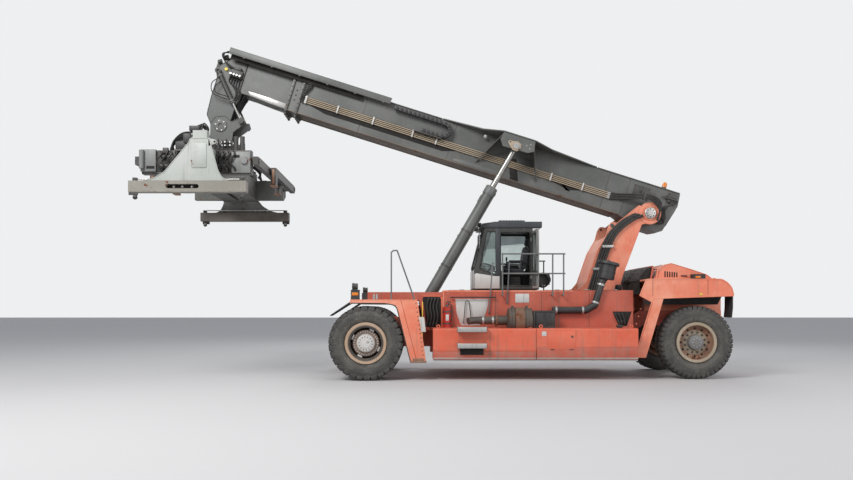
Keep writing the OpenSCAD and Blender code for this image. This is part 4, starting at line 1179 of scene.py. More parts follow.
@dataclass
class Tyres(Assembly):
    """The tyres of one wheel: walls turned about the axle, with two rows of shoulder lugs on each."""

    name: str = "tyre"
    middles: Sequence[float] = ()
    half: float = 0.26
    lugs: int = 30
    lug_half: float = 0.066
    skew: float = 0.12
    look: str = "front_tyre_rubber"
    side: Sequence[Pair] = (
        (0.454, 0.66), (0.468, 0.8), (0.5, 0.88), (0.535, 0.915), (0.545, 0.945), (0.565, 0.955),
                            (0.575, 0.965),
        (0.64, 1.0), (0.69, 0.985), (0.7, 0.955), (0.735, 0.945), (0.765, 0.9), (0.795, 0.78), (0.803, 0.4))

    def carcass(self, middle: float) -> Piece:
        """The tyre without its lugs.

        Args:
            middle: the tyre's middle along the axle.

        Returns:
            The piece.
        """
        section = [(r, share * self.half) for r, share in self.side]
        section += [(r, -across) for r, across in reversed(section)]
        return SHOP.turned(self.name, section, 90, (0, middle, 0), OUTWARD)

    def tread(self, middle: float) -> Piece:
        """Both rows of lugs, the rows half a pitch apart.

        Args:
            middle: the tyre's middle along the axle.

        Returns:
            The piece.
        """
        h = self.half
        outline = [(0.03, 0.79), (0.03, 0.8306), (0.74 * h, 0.8306), (0.9 * h, 0.822), (0.972 * h, 0.79),
                   (0.985 * h, 0.735),
                   (0.94 * h, 0.735), (0.9 * h, 0.765), (0.8 * h, 0.79)]
        model = SHOP.slab("lug", outline, -self.lug_half, self.lug_half, 0.008)
        places = []
        for i in range(2 * self.lugs):
            turn = Matrix.Rotation(math.pi * i / self.lugs, 4, "Y")
            row = Matrix.Rotation(math.pi * (0.5 + i % 2) + self.skew, 4, "Z")
            places.append(Matrix.Translation((0, middle, 0)) @ turn @ row)
        return SHOP.copies(self.name, model, places)

    def build(self, *replaced: str) -> None:
        """Builds every tyre of the wheel as one piece.

        Args:
            replaced: the node that it stands for.
        """
        pieces = [make(middle) for middle in self.middles for make in (self.carcass, self.tread)]
        self.add(SHOP.joined(self.name, pieces), self.look, *replaced)


@dataclass
class Wheels:
    """All four wheels: tyres, lock rings, hub covers, bolts and valves."""

    def front(self, side: float, word: str) -> None:
        """Builds a front pair.

        Args:
            side: LEFT or RIGHT.
            word: the side's name.
        """
        body, place = "wheel_front_" + word, wheel_frame(AXLE_X, side)
        Tyres(body, place, "tyres_front_" + word, (1.815, 1.235)).build("front_tyres_" + word)
        wheel = Assembly(body, place)
        cap = [(0, 1.99), (0.19, 1.99), (0.205, 1.893), (0.214, 1.893), (0.198, 2.022), (0.172, 2.046),
               (0.11, 2.05), (0.105, 2.06), (0, 2.062)]
        wheel.add(SHOP.turned("hub_cap_front_" + word, cap, 64, axis=OUTWARD), "white_paint")
        ring = [(0.205, 1.874), (0.298, 1.874), (0.298, 1.893), (0.29, 1.898), (0.205, 1.898)]
        wheel.add(SHOP.turned("drum_ring_front_" + word, ring, 64, axis=OUTWARD), "rusty_paint")
        lock = [(0.405, 2.032), (0.462, 2.026), (0.468, 2.04), (0.458, 2.056), (0.41, 2.048)]
        wheel.add(SHOP.turned("lock_ring_front_" + word, lock, 90, axis=OUTWARD), "front_rim_paint_shaded_well")
        wheel.bolt_ring("drum_bolts_front_" + word, "bare_metal", (0, 1.898, 0), OUTWARD, 0.262, 30, 0.018,
                        0.024)
        wheel.bolt_ring("hub_bolts_front_" + word, "dark_steel", (0, 2.047, 0), OUTWARD, 0.145, 14, 0.01,
                        0.01)
        wheel.add(SHOP.bolts("hub_plug_front_" + word, [((0.05, 2.062, 0.03), OUTWARD)], 0.02, 0.016),
                  "bare_metal")
        wedge = SHOP.block("wedge", (-0.055, 1.8, 0.3), (0.055, 1.955, 0.336), 0.008)
        turns = [Matrix.Rotation(math.radians(a), 4, "Y") for a in (25, 115, 205, 295)]
        wheel.add(SHOP.copies("rim_wedges_front_" + word, wedge, turns), "white_paint")
        valve = SHOP.pipe("valve_front_" + word, [(0.31, 1.86, 0.1), (0.32, 1.99, 0.11), (0.36, 2.03, 0.13)],
                          0.007, 0.03)
        wheel.add(valve, "bare_metal")

    def rear(self, side: float, word: str) -> None:
        """Builds a rear wheel.

        Args:
            side: LEFT or RIGHT.
            word: the side's name.
        """
        body, place = "wheel_rear_" + word, wheel_frame(REAR_X, side)
        Tyres(body, place, "tyre_rear_" + word, (1.393,), 0.245, 44, 0.044, 0.2,
              "rear_tyre_rubber").build("rear_tyre_" + word)
        wheel = Assembly(body, place)
        ring = [(0.185, 1.45), (0.282, 1.45), (0.282, 1.466), (0.272, 1.472), (0.185, 1.472)]
        wheel.add(SHOP.turned("nut_ring_rear_" + word, ring, 64, axis=OUTWARD), "tan_paint")
        cap = [(0, 1.57), (0.155, 1.57), (0.178, 1.472), (0.186, 1.472), (0.164, 1.598), (0.118, 1.622),
               (0.07, 1.624), (0.065, 1.634), (0, 1.636)]
        wheel.add(SHOP.turned("hub_cap_rear_" + word, cap, 48, axis=OUTWARD), "grey_paint")
        lock = [(0.39, 1.602), (0.457, 1.598), (0.463, 1.61), (0.453, 1.624), (0.395, 1.616)]
        wheel.add(SHOP.turned("lock_ring_rear_" + word, lock, 90, axis=OUTWARD), "tan_paint")
        wheel.bolt_ring("nuts_rear_" + word, "dark_steel", (0, 1.472, 0), OUTWARD, 0.234, 12, 0.021, 0.03)
        wheel.bolt_ring("hub_bolts_rear_" + word, "bare_metal", (0, 1.622, 0), OUTWARD, 0.093, 8, 0.011,
                        0.012)
        # painted shade: near-black discs stand for the shade in the rim's holes
        hole = SHOP.turned("hole", puck(0.024, 0.006), 20)
        up = Matrix.Rotation(math.radians(-90), 4, "X")
        holes = [Matrix.Translation((0.322 * math.cos(a), 1.468, 0.322 * math.sin(a))) @ up
                 for a in (math.tau * i / 12 for i in range(12))]
        wheel.add(SHOP.copies("vent_holes_rear_" + word, hole, holes), "engine_gloom")

    def build(self) -> None:
        """Builds the wheels on both sides."""
        for side, word in ((LEFT, "left"), (RIGHT, "right")):
            self.front(side, word)
            self.rear(side, word)


@dataclass
class FrontFenders(Assembly):
    """Lips, bolts, feet, walking pads, pots and head lamps on the front mudguards."""

    out: float = 2.04

    def edges(self) -> None:
        """Adds the post's seam, the rubber lip along the arch, the bolt row and the rusty foot."""
        seam = SHOP.slab("post_seam", [(0.775, 1.79), (0.789, 1.79), (1.146, 0.43), (1.132, 0.43)],
                         -self.out - 0.004, -self.out + 0.004, 0.002)
        self.pair(seam, "shaded_red")
        lip = [(-0.34, -2.032, 1.728), (0.45, -2.032, 1.722), (0.683, -2.032, 1.673), (0.997, -2.032, 0.43)]
        self.pair(SHOP.pipe("arch_lip", lip, 0.014, 0.1), "black_rubber")
        spots = [((1.118 + 0.1762 * i / 13, -self.out, 1.72 - 1.24 * i / 13), TO_LEFT) for i in range(14)]
        self.pair(SHOP.bolts("post_bolts", spots, 0.012, 0.009), "rusty_paint")
        self.blocks("post_foot", "rusty_paint", [((0.985, -2.052, 0.398), (1.352, -1.92, 0.446)),
                                                 ((1.05, -2.05, 0.446), (1.3, -2.036, 0.5))], 0.006, True)
        edge = [((-0.345, -2.048, 1.716), (-0.325, -1.25, 1.806)),
                ((-0.34, -2.048, 1.797), (1.142, -1.996, 1.809))]
        self.blocks("deck_edge", "body_paint", edge, 0.004, True)

    def decks(self) -> None:
        """Adds the anti-slip pads and the two pots on the deck."""
        pads = [((x, -1.97, 1.8), (x + 0.3, -1.32, 1.806)) for x in (0.02, 0.36, 0.7)]
        self.blocks("walking_pads", "black_rubber", pads, 0.002, True)
        for i, x in enumerate((0.178, 0.243)):
            pot = [(0, 0), (0.026, 0), (0.026, 0.085), (0.02, 0.09), (0.02, 0.125), (0.012, 0.13), (0, 0.13)]
            self.pair(SHOP.turned(f"deck_pot_{i}", pot, 24, (x, -1.9, 1.8)), "bare_metal")

    def lamps(self) -> None:
        """Adds rims and lenses to the head lamps, with an orange marker beside them."""
        rim = [(0.055, -0.012), (0.078, -0.012), (0.08, 0.0), (0.078, 0.03), (0.07, 0.034), (0.055, 0.004)]
        self.pair(SHOP.turned("head_lamp_rim", rim, 40, (-0.272, -1.92, 2.1), AHEAD), "black_plastic")
        lens = [(0, -0.006), (0.066, -0.006), (0.066, 0.006), (0.05, 0.016), (0.025, 0.021), (0, 0.022)]
        self.pair(SHOP.turned("head_lamp_lens", lens, 40, (-0.272, -1.92, 2.1), AHEAD), "lamp_glass")
        for i, z in enumerate((1.86, 1.955)):
            disc = [(0, -0.006), (0.036, -0.006), (0.036, 0.01), (0.02, 0.014), (0, 0.015)]
            self.pair(SHOP.turned(f"box_lamp_{i}", disc, 32, (-0.33, -1.92, z), AHEAD), "lamp_glass")
        self.blocks("box_marker", "amber_plastic", [((-0.31, -1.99, 1.9), (-0.17, -1.976, 1.965))], 0.006,
                    True)
        self.blocks("box_rim", "black_plastic", [((-0.335, -1.986, 2.008), (-0.135, -1.854, 2.026)),
                                                 ((-0.336, -1.986, 1.802), (-0.134, -1.854, 1.816))], 0.004,
                    True)

    def build(self) -> None:
        """Builds the fenders' details."""
        self.edges()
        self.decks()
        self.lamps()


@dataclass
class SideTanks(Assembly):
    """Creases, doors, latches, caps and the blank label on the side tanks."""

    out: float = 2.03

    def build(self) -> None:
        """Builds the tanks' details."""
        ends = ((1.503, 3.792), (3.808, 6.057))
        creases = tuple((a, b, z) for (a, b), z in zip(ends, (0.65, 0.75)))
        welds = [((a, -self.out - 0.004, z + 0.002), (b, -self.out + 0.002, z + 0.014))
                 for a, b, z in creases]
        self.blocks("tank_creases", "chassis_paint", welds, 0.002, True)
        # painted shade: darker plates over each tank's lower band below the crease
        shade_skirts = [((a, -self.out - 0.007, 0.505), (b, -self.out, z)) for a, b, z in creases]
        self.blocks("tank_shade_skirts", "skirt_paint", shade_skirts, 0.002, True)
        strips = [((a, -self.out - 0.012, 0.492), (b, -self.out + 0.03, 0.512)) for a, b in ends]
        self.blocks("sill_strips", "bare_metal", strips, 0.003, True)
        rims = [((a, -1.998, 1.16), (b, -1.3, 1.169)) for a, b in ends]
        self.blocks("ledge_plates", "chassis_paint", rims, 0.003, True)
        door = [(4.045, 0.72), (4.065, 0.7), (4.63, 0.7), (4.65, 0.72), (4.65, 1.09), (4.63, 1.11),
                (4.065, 1.11), (4.045, 1.09)]
        self.pair(SHOP.slab("locker_door", door, -self.out - 0.01, -self.out + 0.001, 0.003), "chassis_paint")
        self.pair(SHOP.turned("locker_latch", [(0, 0), (0.026, 0), (0.026, 0.01), (0.01, 0.014),
                                               (0.01, 0.022), (0, 0.022)], 24,
                              (4.59, -self.out - 0.009, 0.985), TO_LEFT), "dark_steel")
        hinge_y = -self.out - 0.014
        hinges = [SHOP.rod("hinge", (x, hinge_y, 0.7), (x + 0.08, hinge_y, 0.7), 0.01) for x in (4.11, 4.53)]
        self.pair(SHOP.joined("locker_hinges", hinges), "dark_steel")
        self.blocks("blank_label", "white_paint", [((3.915, -self.out - 0.004, 0.995),
                                                    (4.018, -self.out, 1.1))], 0.001)
        cap = [(0, 0), (0.062, 0), (0.062, 0.03), (0.085, 0.032), (0.085, 0.06), (0.07, 0.068), (0.03, 0.07),
               (0, 0.07)]
        self.pair(SHOP.turned("filler_cap", cap, 32, (5.72, -1.72, 1.168)), "black_plastic")
        bolts = [((x, -self.out, 1.08), TO_LEFT) for _, x in evenly(5, 1.6, 0.55) + evenly(4, 5.0, 0.3)]
        self.pair(SHOP.bolts("tank_bolts", bolts, 0.011, 0.008), "chassis_paint")
        spots = [((x, -1.86, 1.205), OUTWARD) for x in (1.62, 3.68, 3.92, 5.95)]
        eyes = SHOP.turned_at("tank_lifting_eyes", hoop(0.022, 0.044, -0.012, 0.012), 20, spots, 0.003)
        self.pair(eyes, "chassis_paint")


@dataclass
class BodySides(Assembly):
    """What is fixed to the raised body's sides: colour block, rails, plates and the hose bay, painted as a
    dark patch of shade.
    """

    out: float = 1.28

    def panels(self) -> None:
        """Adds the pale colour block with its curved rear edge, and the raised panel frame."""
        edge = [(2.795 - 0.195 * (i / 6) ** 1.8, 1.83 - 0.615 * i / 6) for i in range(7)]
        patch = SHOP.slab("pale_block", [(2.03, 1.83), *edge, (2.16, 1.215), (2.06, 1.5)], -self.out - 0.004,
                          -self.out, 0.001)
        self.pair(patch, "white_paint")
        rim = [((1.74, -self.out - 0.006, 1.995), (4.75, -self.out + 0.002, 2.028)),
               ((1.74, -self.out - 0.006, 1.17), (1.765, -self.out + 0.002, 1.995))]
        self.blocks("body_rim", "body_paint", rim, 0.002, True)
        seams = [((x, -self.out - 0.003, 1.18), (x + 0.008, -self.out + 0.001, 1.99))
                 for x in (2.95, 4.02, 5.12)]
        self.blocks("body_seams", "dark_steel", seams, 0.001, True)
        bolts = [((1.86 + 0.33 * i, -self.out, 1.955), TO_LEFT) for i in range(13)]
        self.pair(SHOP.bolts("body_bolts", bolts, 0.011, 0.008), "body_paint")
        self.blocks("blank_plate", "white_paint", [((3.417, -self.out - 0.006, 1.745),
                                                    (3.735, -self.out, 1.95))], 0.002)

    def rails(self) -> None:
        """Adds the dark rail, the loop on the pale block and the grab rods."""
        pieces = [SHOP.pipe("rail", [(1.906, -1.36, 1.867), (2.97, -1.36, 1.867)], 0.014)]
        pieces += [SHOP.rod("post", (x, -self.out, 1.867), (x, -1.36, 1.867), 0.01, 12)
                   for x in (1.95, 2.43, 2.92)]
        self.pair(SHOP.joined("side_rail", pieces), "black_plastic")
        loop = [(2.22, -self.out, 1.26), (2.22, -1.34, 1.3), (2.26, -1.34, 1.78), (2.34, -1.34, 1.78),
                (2.4, -1.34, 1.3), (2.4, -self.out, 1.26)]
        self.pair(SHOP.pipe("hose_guards", loop, 0.01, 0.03), "dark_steel")
        grabs = (((2.8, -1.33, 1.505), (2.89, -1.36, 2.68)), ((3.22, -1.33, 1.735), (3.27, -1.36, 2.68)))
        rods = [SHOP.rod("grab", a, b, 0.015, 16) for a, b in grabs]
        rods += [SHOP.rod("foot", a, (a[0], -self.out, a[2]), 0.015, 12) for a, _ in grabs]
        rods += [SHOP.rod("foot", (x, -1.335, 1.95), (x, -self.out, 1.95), 0.012, 12) for x in (2.834, 3.231)]
        self.add(SHOP.joined("grab_rods", rods), "grey_paint")

    def bay(self) -> None:
        """Adds a dark patch of painted shade for the open bay behind the front wheels, with the hoses that
        cross it.
        """
        # painted shade: a near-black patch on the closed side stands for the shade inside the open bay
        outline = [(1.37, 1.18), (1.7, 1.18), (1.7, 1.82), (1.66, 1.88), (1.3, 1.88), (1.27, 1.84)]
        self.pair(SHOP.slab("painted_bay_shade", outline, -self.out - 0.004, -self.out, 0.001), "engine_gloom")
        frame_bars = [((1.7, -self.out - 0.014, 1.18), (1.735, -self.out, 1.9)),
                      ((1.27, -self.out - 0.014, 1.88), (1.735, -self.out, 1.905))]
        self.blocks("bay_frame", "chassis_paint", frame_bars, 0.003, True)
        runs = [[(x - 0.05, -1.31, 1.2), (x, -1.33 - 0.02 * (i % 2), 1.42), (x - 0.03, -1.32, 1.66),
                 (x + 0.02, -1.3, 1.86)]
                for i, x in evenly(4, 1.4, 0.075)]
        self.hose_set("bay_hose", 0.017, runs, True)
        strip = [((1.255, -1.99, 0.62), (1.272, -1.975, 1.76))]
        self.blocks("edge_strip", "yellow_plastic", strip, 0.003)
        curve = [(1.18 + 0.05 * math.sin(a), 1.42 - 0.22 * a) for a in (0.0, 0.5, 1.0, 1.5)]
        self.add(SHOP.slab("curved_plate", [*curve, (1.34, 1.09), (1.3, 1.42)], -2.052, -2.04, 0.002),
                 "white_paint")

    def build(self) -> None:
        """Builds the sides' details."""
        self.panels()
        self.rails()
        self.bay()


@dataclass
class Steps(Assembly):
    """Two steps on the left tank: ribbed treads with a lip and brackets."""

    def build(self) -> None:
        """Builds both steps as one piece."""
        pieces = []
        for z in (0.84, 1.2):
            pieces.append(SHOP.block("tray", (2.03, -2.24, z - 0.11), (2.68, -2.032, z - 0.098), 0.003))
            pieces.append(SHOP.block("lip", (2.03, -2.24, z - 0.11), (2.68, -2.226, z), 0.003))
            pieces += [SHOP.slab("cheek", [(-2.24, z - 0.11), (-2.032, z - 0.11), (-2.032, z + 0.03),
                                           (-2.24, z)], 0, 0.01, 0.002) for _ in (0, 1)]
            for cheek, x in zip(pieces[-2:], (2.03, 2.67)):
                SHOP.place(cheek, Matrix.Translation((x, 0, 0)) @ Matrix.Rotation(math.pi / 2, 4, "Z")
                           @ Matrix.Scale(-1, 4, OUTWARD))
            pieces += [SHOP.block("rib", (2.05 + 0.035 * i, -2.225, z - 0.1),
                                  (2.062 + 0.035 * i, -2.04, z - 0.082), 0.003) for i in range(18)]
        self.add(SHOP.joined("steps", pieces), "bare_metal", "access_steps")
        self.blocks("step_box", "engine_gloom", [((2.1, -2.06, 0.58), (2.62, -2.028, 0.72))], 0.004)


@dataclass
class Silencer(Assembly):
    """The silencer on the left ledge: dished ends, straps' ears, flanges, elbow and its rusty shield."""

    y: float = -1.64
    z: float = 1.34

    def build(self) -> None:
        """Builds the silencer's details."""
        dish = [(0, -0.035), (0.12, -0.033), (0.22, -0.022), (0.281, 0.002), (0.284, 0.014), (0.262, 0.014),
                (0, 0.014)]
        self.add(SHOP.turned("silencer_front", dish, 56, (3.21, self.y, self.z), BACK), "sooty_metal")
        self.add(SHOP.turned("silencer_rear", [(r, -h) for r, h in dish], 56, (3.73, self.y, self.z), BACK),
                 "sooty_metal")
        shield = hoop(0.283, 0.298, 0.0, 0.2)
        self.add(SHOP.turned("silencer_shield", shield, 56, (3.36, self.y, self.z), BACK, 0.003),
                 "shield_paint")
        flange = hoop(0.09, 0.135, -0.012, 0.012)
        spots = [((x, self.y, self.z), BACK) for x in (2.955, 2.935)]
        self.add(SHOP.turned_at("pipe_flanges", flange, 40, spots, 0.003), "shield_paint")
        self.bolt_ring("flange_bolts", "dark_steel", (2.923, self.y, self.z), AHEAD, 0.118, 8, 0.011, 0.01)
        tail = [(2.6, self.y, self.z), (2.42, self.y, self.z), (2.3, self.y - 0.06, self.z - 0.02)]
        self.add(SHOP.pipe("tail_pipe", tail, 0.082, 0.12, 6), "sooty_metal")
        clamp = hoop(0.088, 0.1, -0.02, 0.02)
        spots = [((x, self.y, self.z), BACK) for x in (2.64, 2.86)]
        self.add(SHOP.turned_at("tail_clamps", clamp, 40, spots, 0.003), "bare_metal")
        ears = [((x, self.y - 0.05, self.z + 0.285), (x + 0.05, self.y + 0.05, self.z + 0.335))
                for x in (3.28, 3.6)]
        self.blocks("strap_ears", "dark_steel", ears, 0.005)
        self.blocks("end_bracket", "dark_steel", [((3.76, self.y - 0.2, 1.168), (3.785, self.y + 0.1, 1.55))],
                    0.004)


@dataclass
class Intake(Assembly):
    """Clamps along the air pipe, ribs of the filter box, and the cleaner's cap."""

    y: float = -1.37

    def build(self) -> None:
        """Builds the intake's details."""
        ring = [(0.081, -0.022), (0.094, -0.022), (0.096, 0.0), (0.094, 0.022), (0.081, 0.022)]
        rise = (0.3, 0, 0.95)
        spots = (((4.34, self.y, 1.57), BACK), ((4.95, self.y, 1.57), BACK), ((5.25, self.y, 1.745), rise),
                 ((5.38, self.y, 2.155), rise))
        self.add(SHOP.turned_at("pipe_clamps", ring, 40, spots), "bare_metal")
        ribs = [((3.785, -1.755, z), (4.265, -1.295, z + 0.016)) for z in (1.22, 1.32, 1.42, 1.52)]
        self.blocks("filter_ribs", "black_plastic", ribs, 0.004)
        self.blocks("filter_lid", "black_plastic",
                    [((3.8, -1.76, 1.24), (3.98, -1.745, 1.5)), ((4.05, -1.76, 1.24), (4.24, -1.745, 1.5))],
                    0.006)
        tilt = Matrix.Translation((5.48, self.y, 2.29)) @ Matrix.Rotation(math.radians(12), 4, "Y")
        parts = [SHOP.turned("band", hoop(0.188, 0.198, z - 0.012, z + 0.012), 48)
                 for z in (0.05, 0.17, 0.29)]
        parts.append(SHOP.turned("cap", [(0, 0.385), (0.232, 0.385), (0.24, 0.372), (0.24, 0.335),
                                         (0.246, 0.335), (0.247, 0.376), (0.236, 0.398), (0.12, 0.41),
                                         (0, 0.412)], 48))
        parts.append(SHOP.turned("knob", [(0, 0.405), (0.03, 0.405), (0.03, 0.43), (0.015, 0.437),
                                          (0, 0.437)], 24))
        cleaner = SHOP.joined("cleaner_cap", parts)
        SHOP.place(cleaner, tilt)
        self.add(cleaner, "black_plastic")


@dataclass
class Deck(Assembly):
    """Rail feet, the extinguisher's head, plates and hatches on the deck."""

    def build(self) -> None:
        """Builds the deck's details."""
        flange = [(0.0, 0), (0.045, 0), (0.045, 0.008), (0.024, 0.01), (0.021, 0.03), (0.0, 0.03)]
        self.add(SHOP.turned_at("rail_feet", flange, 24, [((x, -1.99, 1.801), UP) for x in (0.57, 1.08)]),
                 "grey_paint")
        head = [(0, 1.64), (0.036, 1.64), (0.036, 1.7), (0.022, 1.72), (0.022, 1.745), (0, 1.745)]
        self.add(SHOP.turned("extinguisher_neck", head, 28, (1.835, -1.4, 0)), "dark_steel")
        self.blocks("extinguisher_lever", "black_plastic",
                    [((1.8, -1.415, 1.735), (1.93, -1.385, 1.752)),
                     ((1.82, -1.412, 1.76), (1.92, -1.388, 1.774))], 0.004)
        self.add(SHOP.hose("extinguisher_hose", [(1.86, -1.42, 1.715), (1.93, -1.46, 1.68),
                                                 (1.945, -1.46, 1.5), (1.935, -1.45, 1.32)], 0.01),
                 "black_rubber")
        spots = [((1.835, -1.4, z), UP) for z in (1.25, 1.52)]
        self.add(SHOP.turned_at("extinguisher_bands", hoop(0.096, 0.101, 0, 0.03), 32, spots), "dark_steel")
        self.blocks("extinguisher_label", "white_paint", [((1.8, -1.4975, 1.33), (1.87, -1.49, 1.47))], 0.001)
        plates = [((x, -1.22, 2.03), (x + 0.62, -0.76, 2.038)) for x in (1.88, 4.12, 4.82, 5.5)]
        plates += [((x, -0.42, 2.03), (x + 0.5, 0.42, 2.038)) for x in (1.86, 4.2)]
        self.blocks("deck_plates", "dark_steel", plates, 0.003, True)
        self.blocks("hatch_handles", "bare_metal",
                    [((x, -1.02, 2.038), (x + 0.12, -0.98, 2.056)) for x in (2.13, 4.37, 5.07, 5.75)], 0.006,
                    True)
        breather = [(0, 0), (0.07, 0), (0.08, 0.02), (0.08, 0.11), (0.05, 0.14), (0, 0.14)]
        self.pair(SHOP.turned("deck_breather", breather, 28, (5.88, -0.95, 2.03)), "black_plastic")


@dataclass
class Tower(Assembly):
    """Hoses up the tower, their clamps, the pin's cap with bolts, and welds."""

    def hoses(self) -> None:
        """Adds the bundle of thick hoses from the body's side to the main pin."""
        route = ((5.0, 1.26), (5.17, 1.52), (5.31, 1.98), (5.47, 2.51), (5.65, 3.06), (5.86, 3.45),
                 (6.2, 3.74), (6.46, 3.86))
        model = []
        for i in range(4):
            points = [(x - 0.09 + 0.056 * i + 0.006 * math.sin(3 * k + i), -0.665 - 0.008 * (i % 2),
                       z - 0.012 * i) for k, (x, z) in enumerate(route)]
            model.append(SHOP.hose("hose", points, 0.027))
        self.add(SHOP.joined("tower_hose_bundle", model), "black_rubber", "tower_hoses")
        clamps = []
        for x, z in ((5.708, 3.088), (5.495, 2.548), (5.298, 1.991), (5.12, 1.45)):
            clamps += [((x - 0.15, -0.712, z - 0.03), (x + 0.12, -0.7, z + 0.03)),
                       ((x - 0.155, -0.712, z - 0.03), (x - 0.135, -0.61, z + 0.03)),
                       ((x + 0.105, -0.712, z - 0.03), (x + 0.125, -0.61, z + 0.03))]
        self.blocks("hose_clamps", "bare_metal", clamps, 0.004)

    def build(self) -> None:
        """Builds the tower's details."""
        self.hoses()
        cap = [(0, 0), (0.125, 0), (0.132, 0.006), (0.132, 0.018), (0.118, 0.026), (0.05, 0.026),
               (0.046, 0.034), (0, 0.034)]
        self.pair(SHOP.turned("pin_cap", cap, 48, (6.718, -0.655, 3.888), TO_LEFT), "bare_metal")
        self.bolt_ring("pin_bolts", "dark_steel", (6.718, -0.679, 3.888), TO_LEFT, 0.092, 8, 0.012, 0.012,
                       True)
        ring = [(0.172, 0), (0.262, 0), (0.268, 0.006), (0.262, 0.012), (0.172, 0.012)]
        self.pair(SHOP.turned("tower_ring", ring, 64, (6.718, -0.608, 3.888), TO_LEFT), "body_paint")
        rim = [(4.72, 1.95), (4.88, 2.02), (5.08, 2.09), (5.205, 2.24), (5.464, 2.985), (5.662, 3.32),
               (5.73, 3.565), (5.79, 3.66), (5.86, 3.665), (5.93, 3.645), (6.46, 4.07)]
        self.pair(SHOP.pipe("tower_front_weld", [(x, -0.605, z) for x, z in rim], 0.012, 0.02), "body_paint")
        back = [(6.88, 3.7), (6.52, 3.625), (6.4, 3.296), (6.08, 2.441), (6.015, 2.21), (6.06, 2.07)]
        self.pair(SHOP.pipe("tower_back_weld", [(x, -0.605, z) for x, z in back], 0.01, 0.02), "body_paint")
        hole = [(0, 0), (0.04, 0), (0.046, 0.004), (0.046, 0.01), (0.03, 0.012), (0, 0.012)]
        self.pair(SHOP.turned("ear_bush", hole, 28, (5.813, -0.61, 3.597), TO_LEFT), "dark_steel")
        # painted shade: a near-black plate on the uncut panel stands for the shade inside the opening
        shaded_opening = [(5.662, 1.539), (6.106, 1.539), (5.995, 1.206), (5.805, 1.206)]
        self.pair(SHOP.slab("painted_opening_shade", shaded_opening, -1.285, -1.28, 0.001), "engine_gloom")
        runs = [[(5.7 + 0.09 * i, -1.29, 1.5), (5.76 + 0.08 * i, -1.32, 1.38), (5.82 + 0.06 * i, -1.31, 1.25)]
                for i in range(3)]
        self.hose_set("opening_hose", 0.018, runs, True)


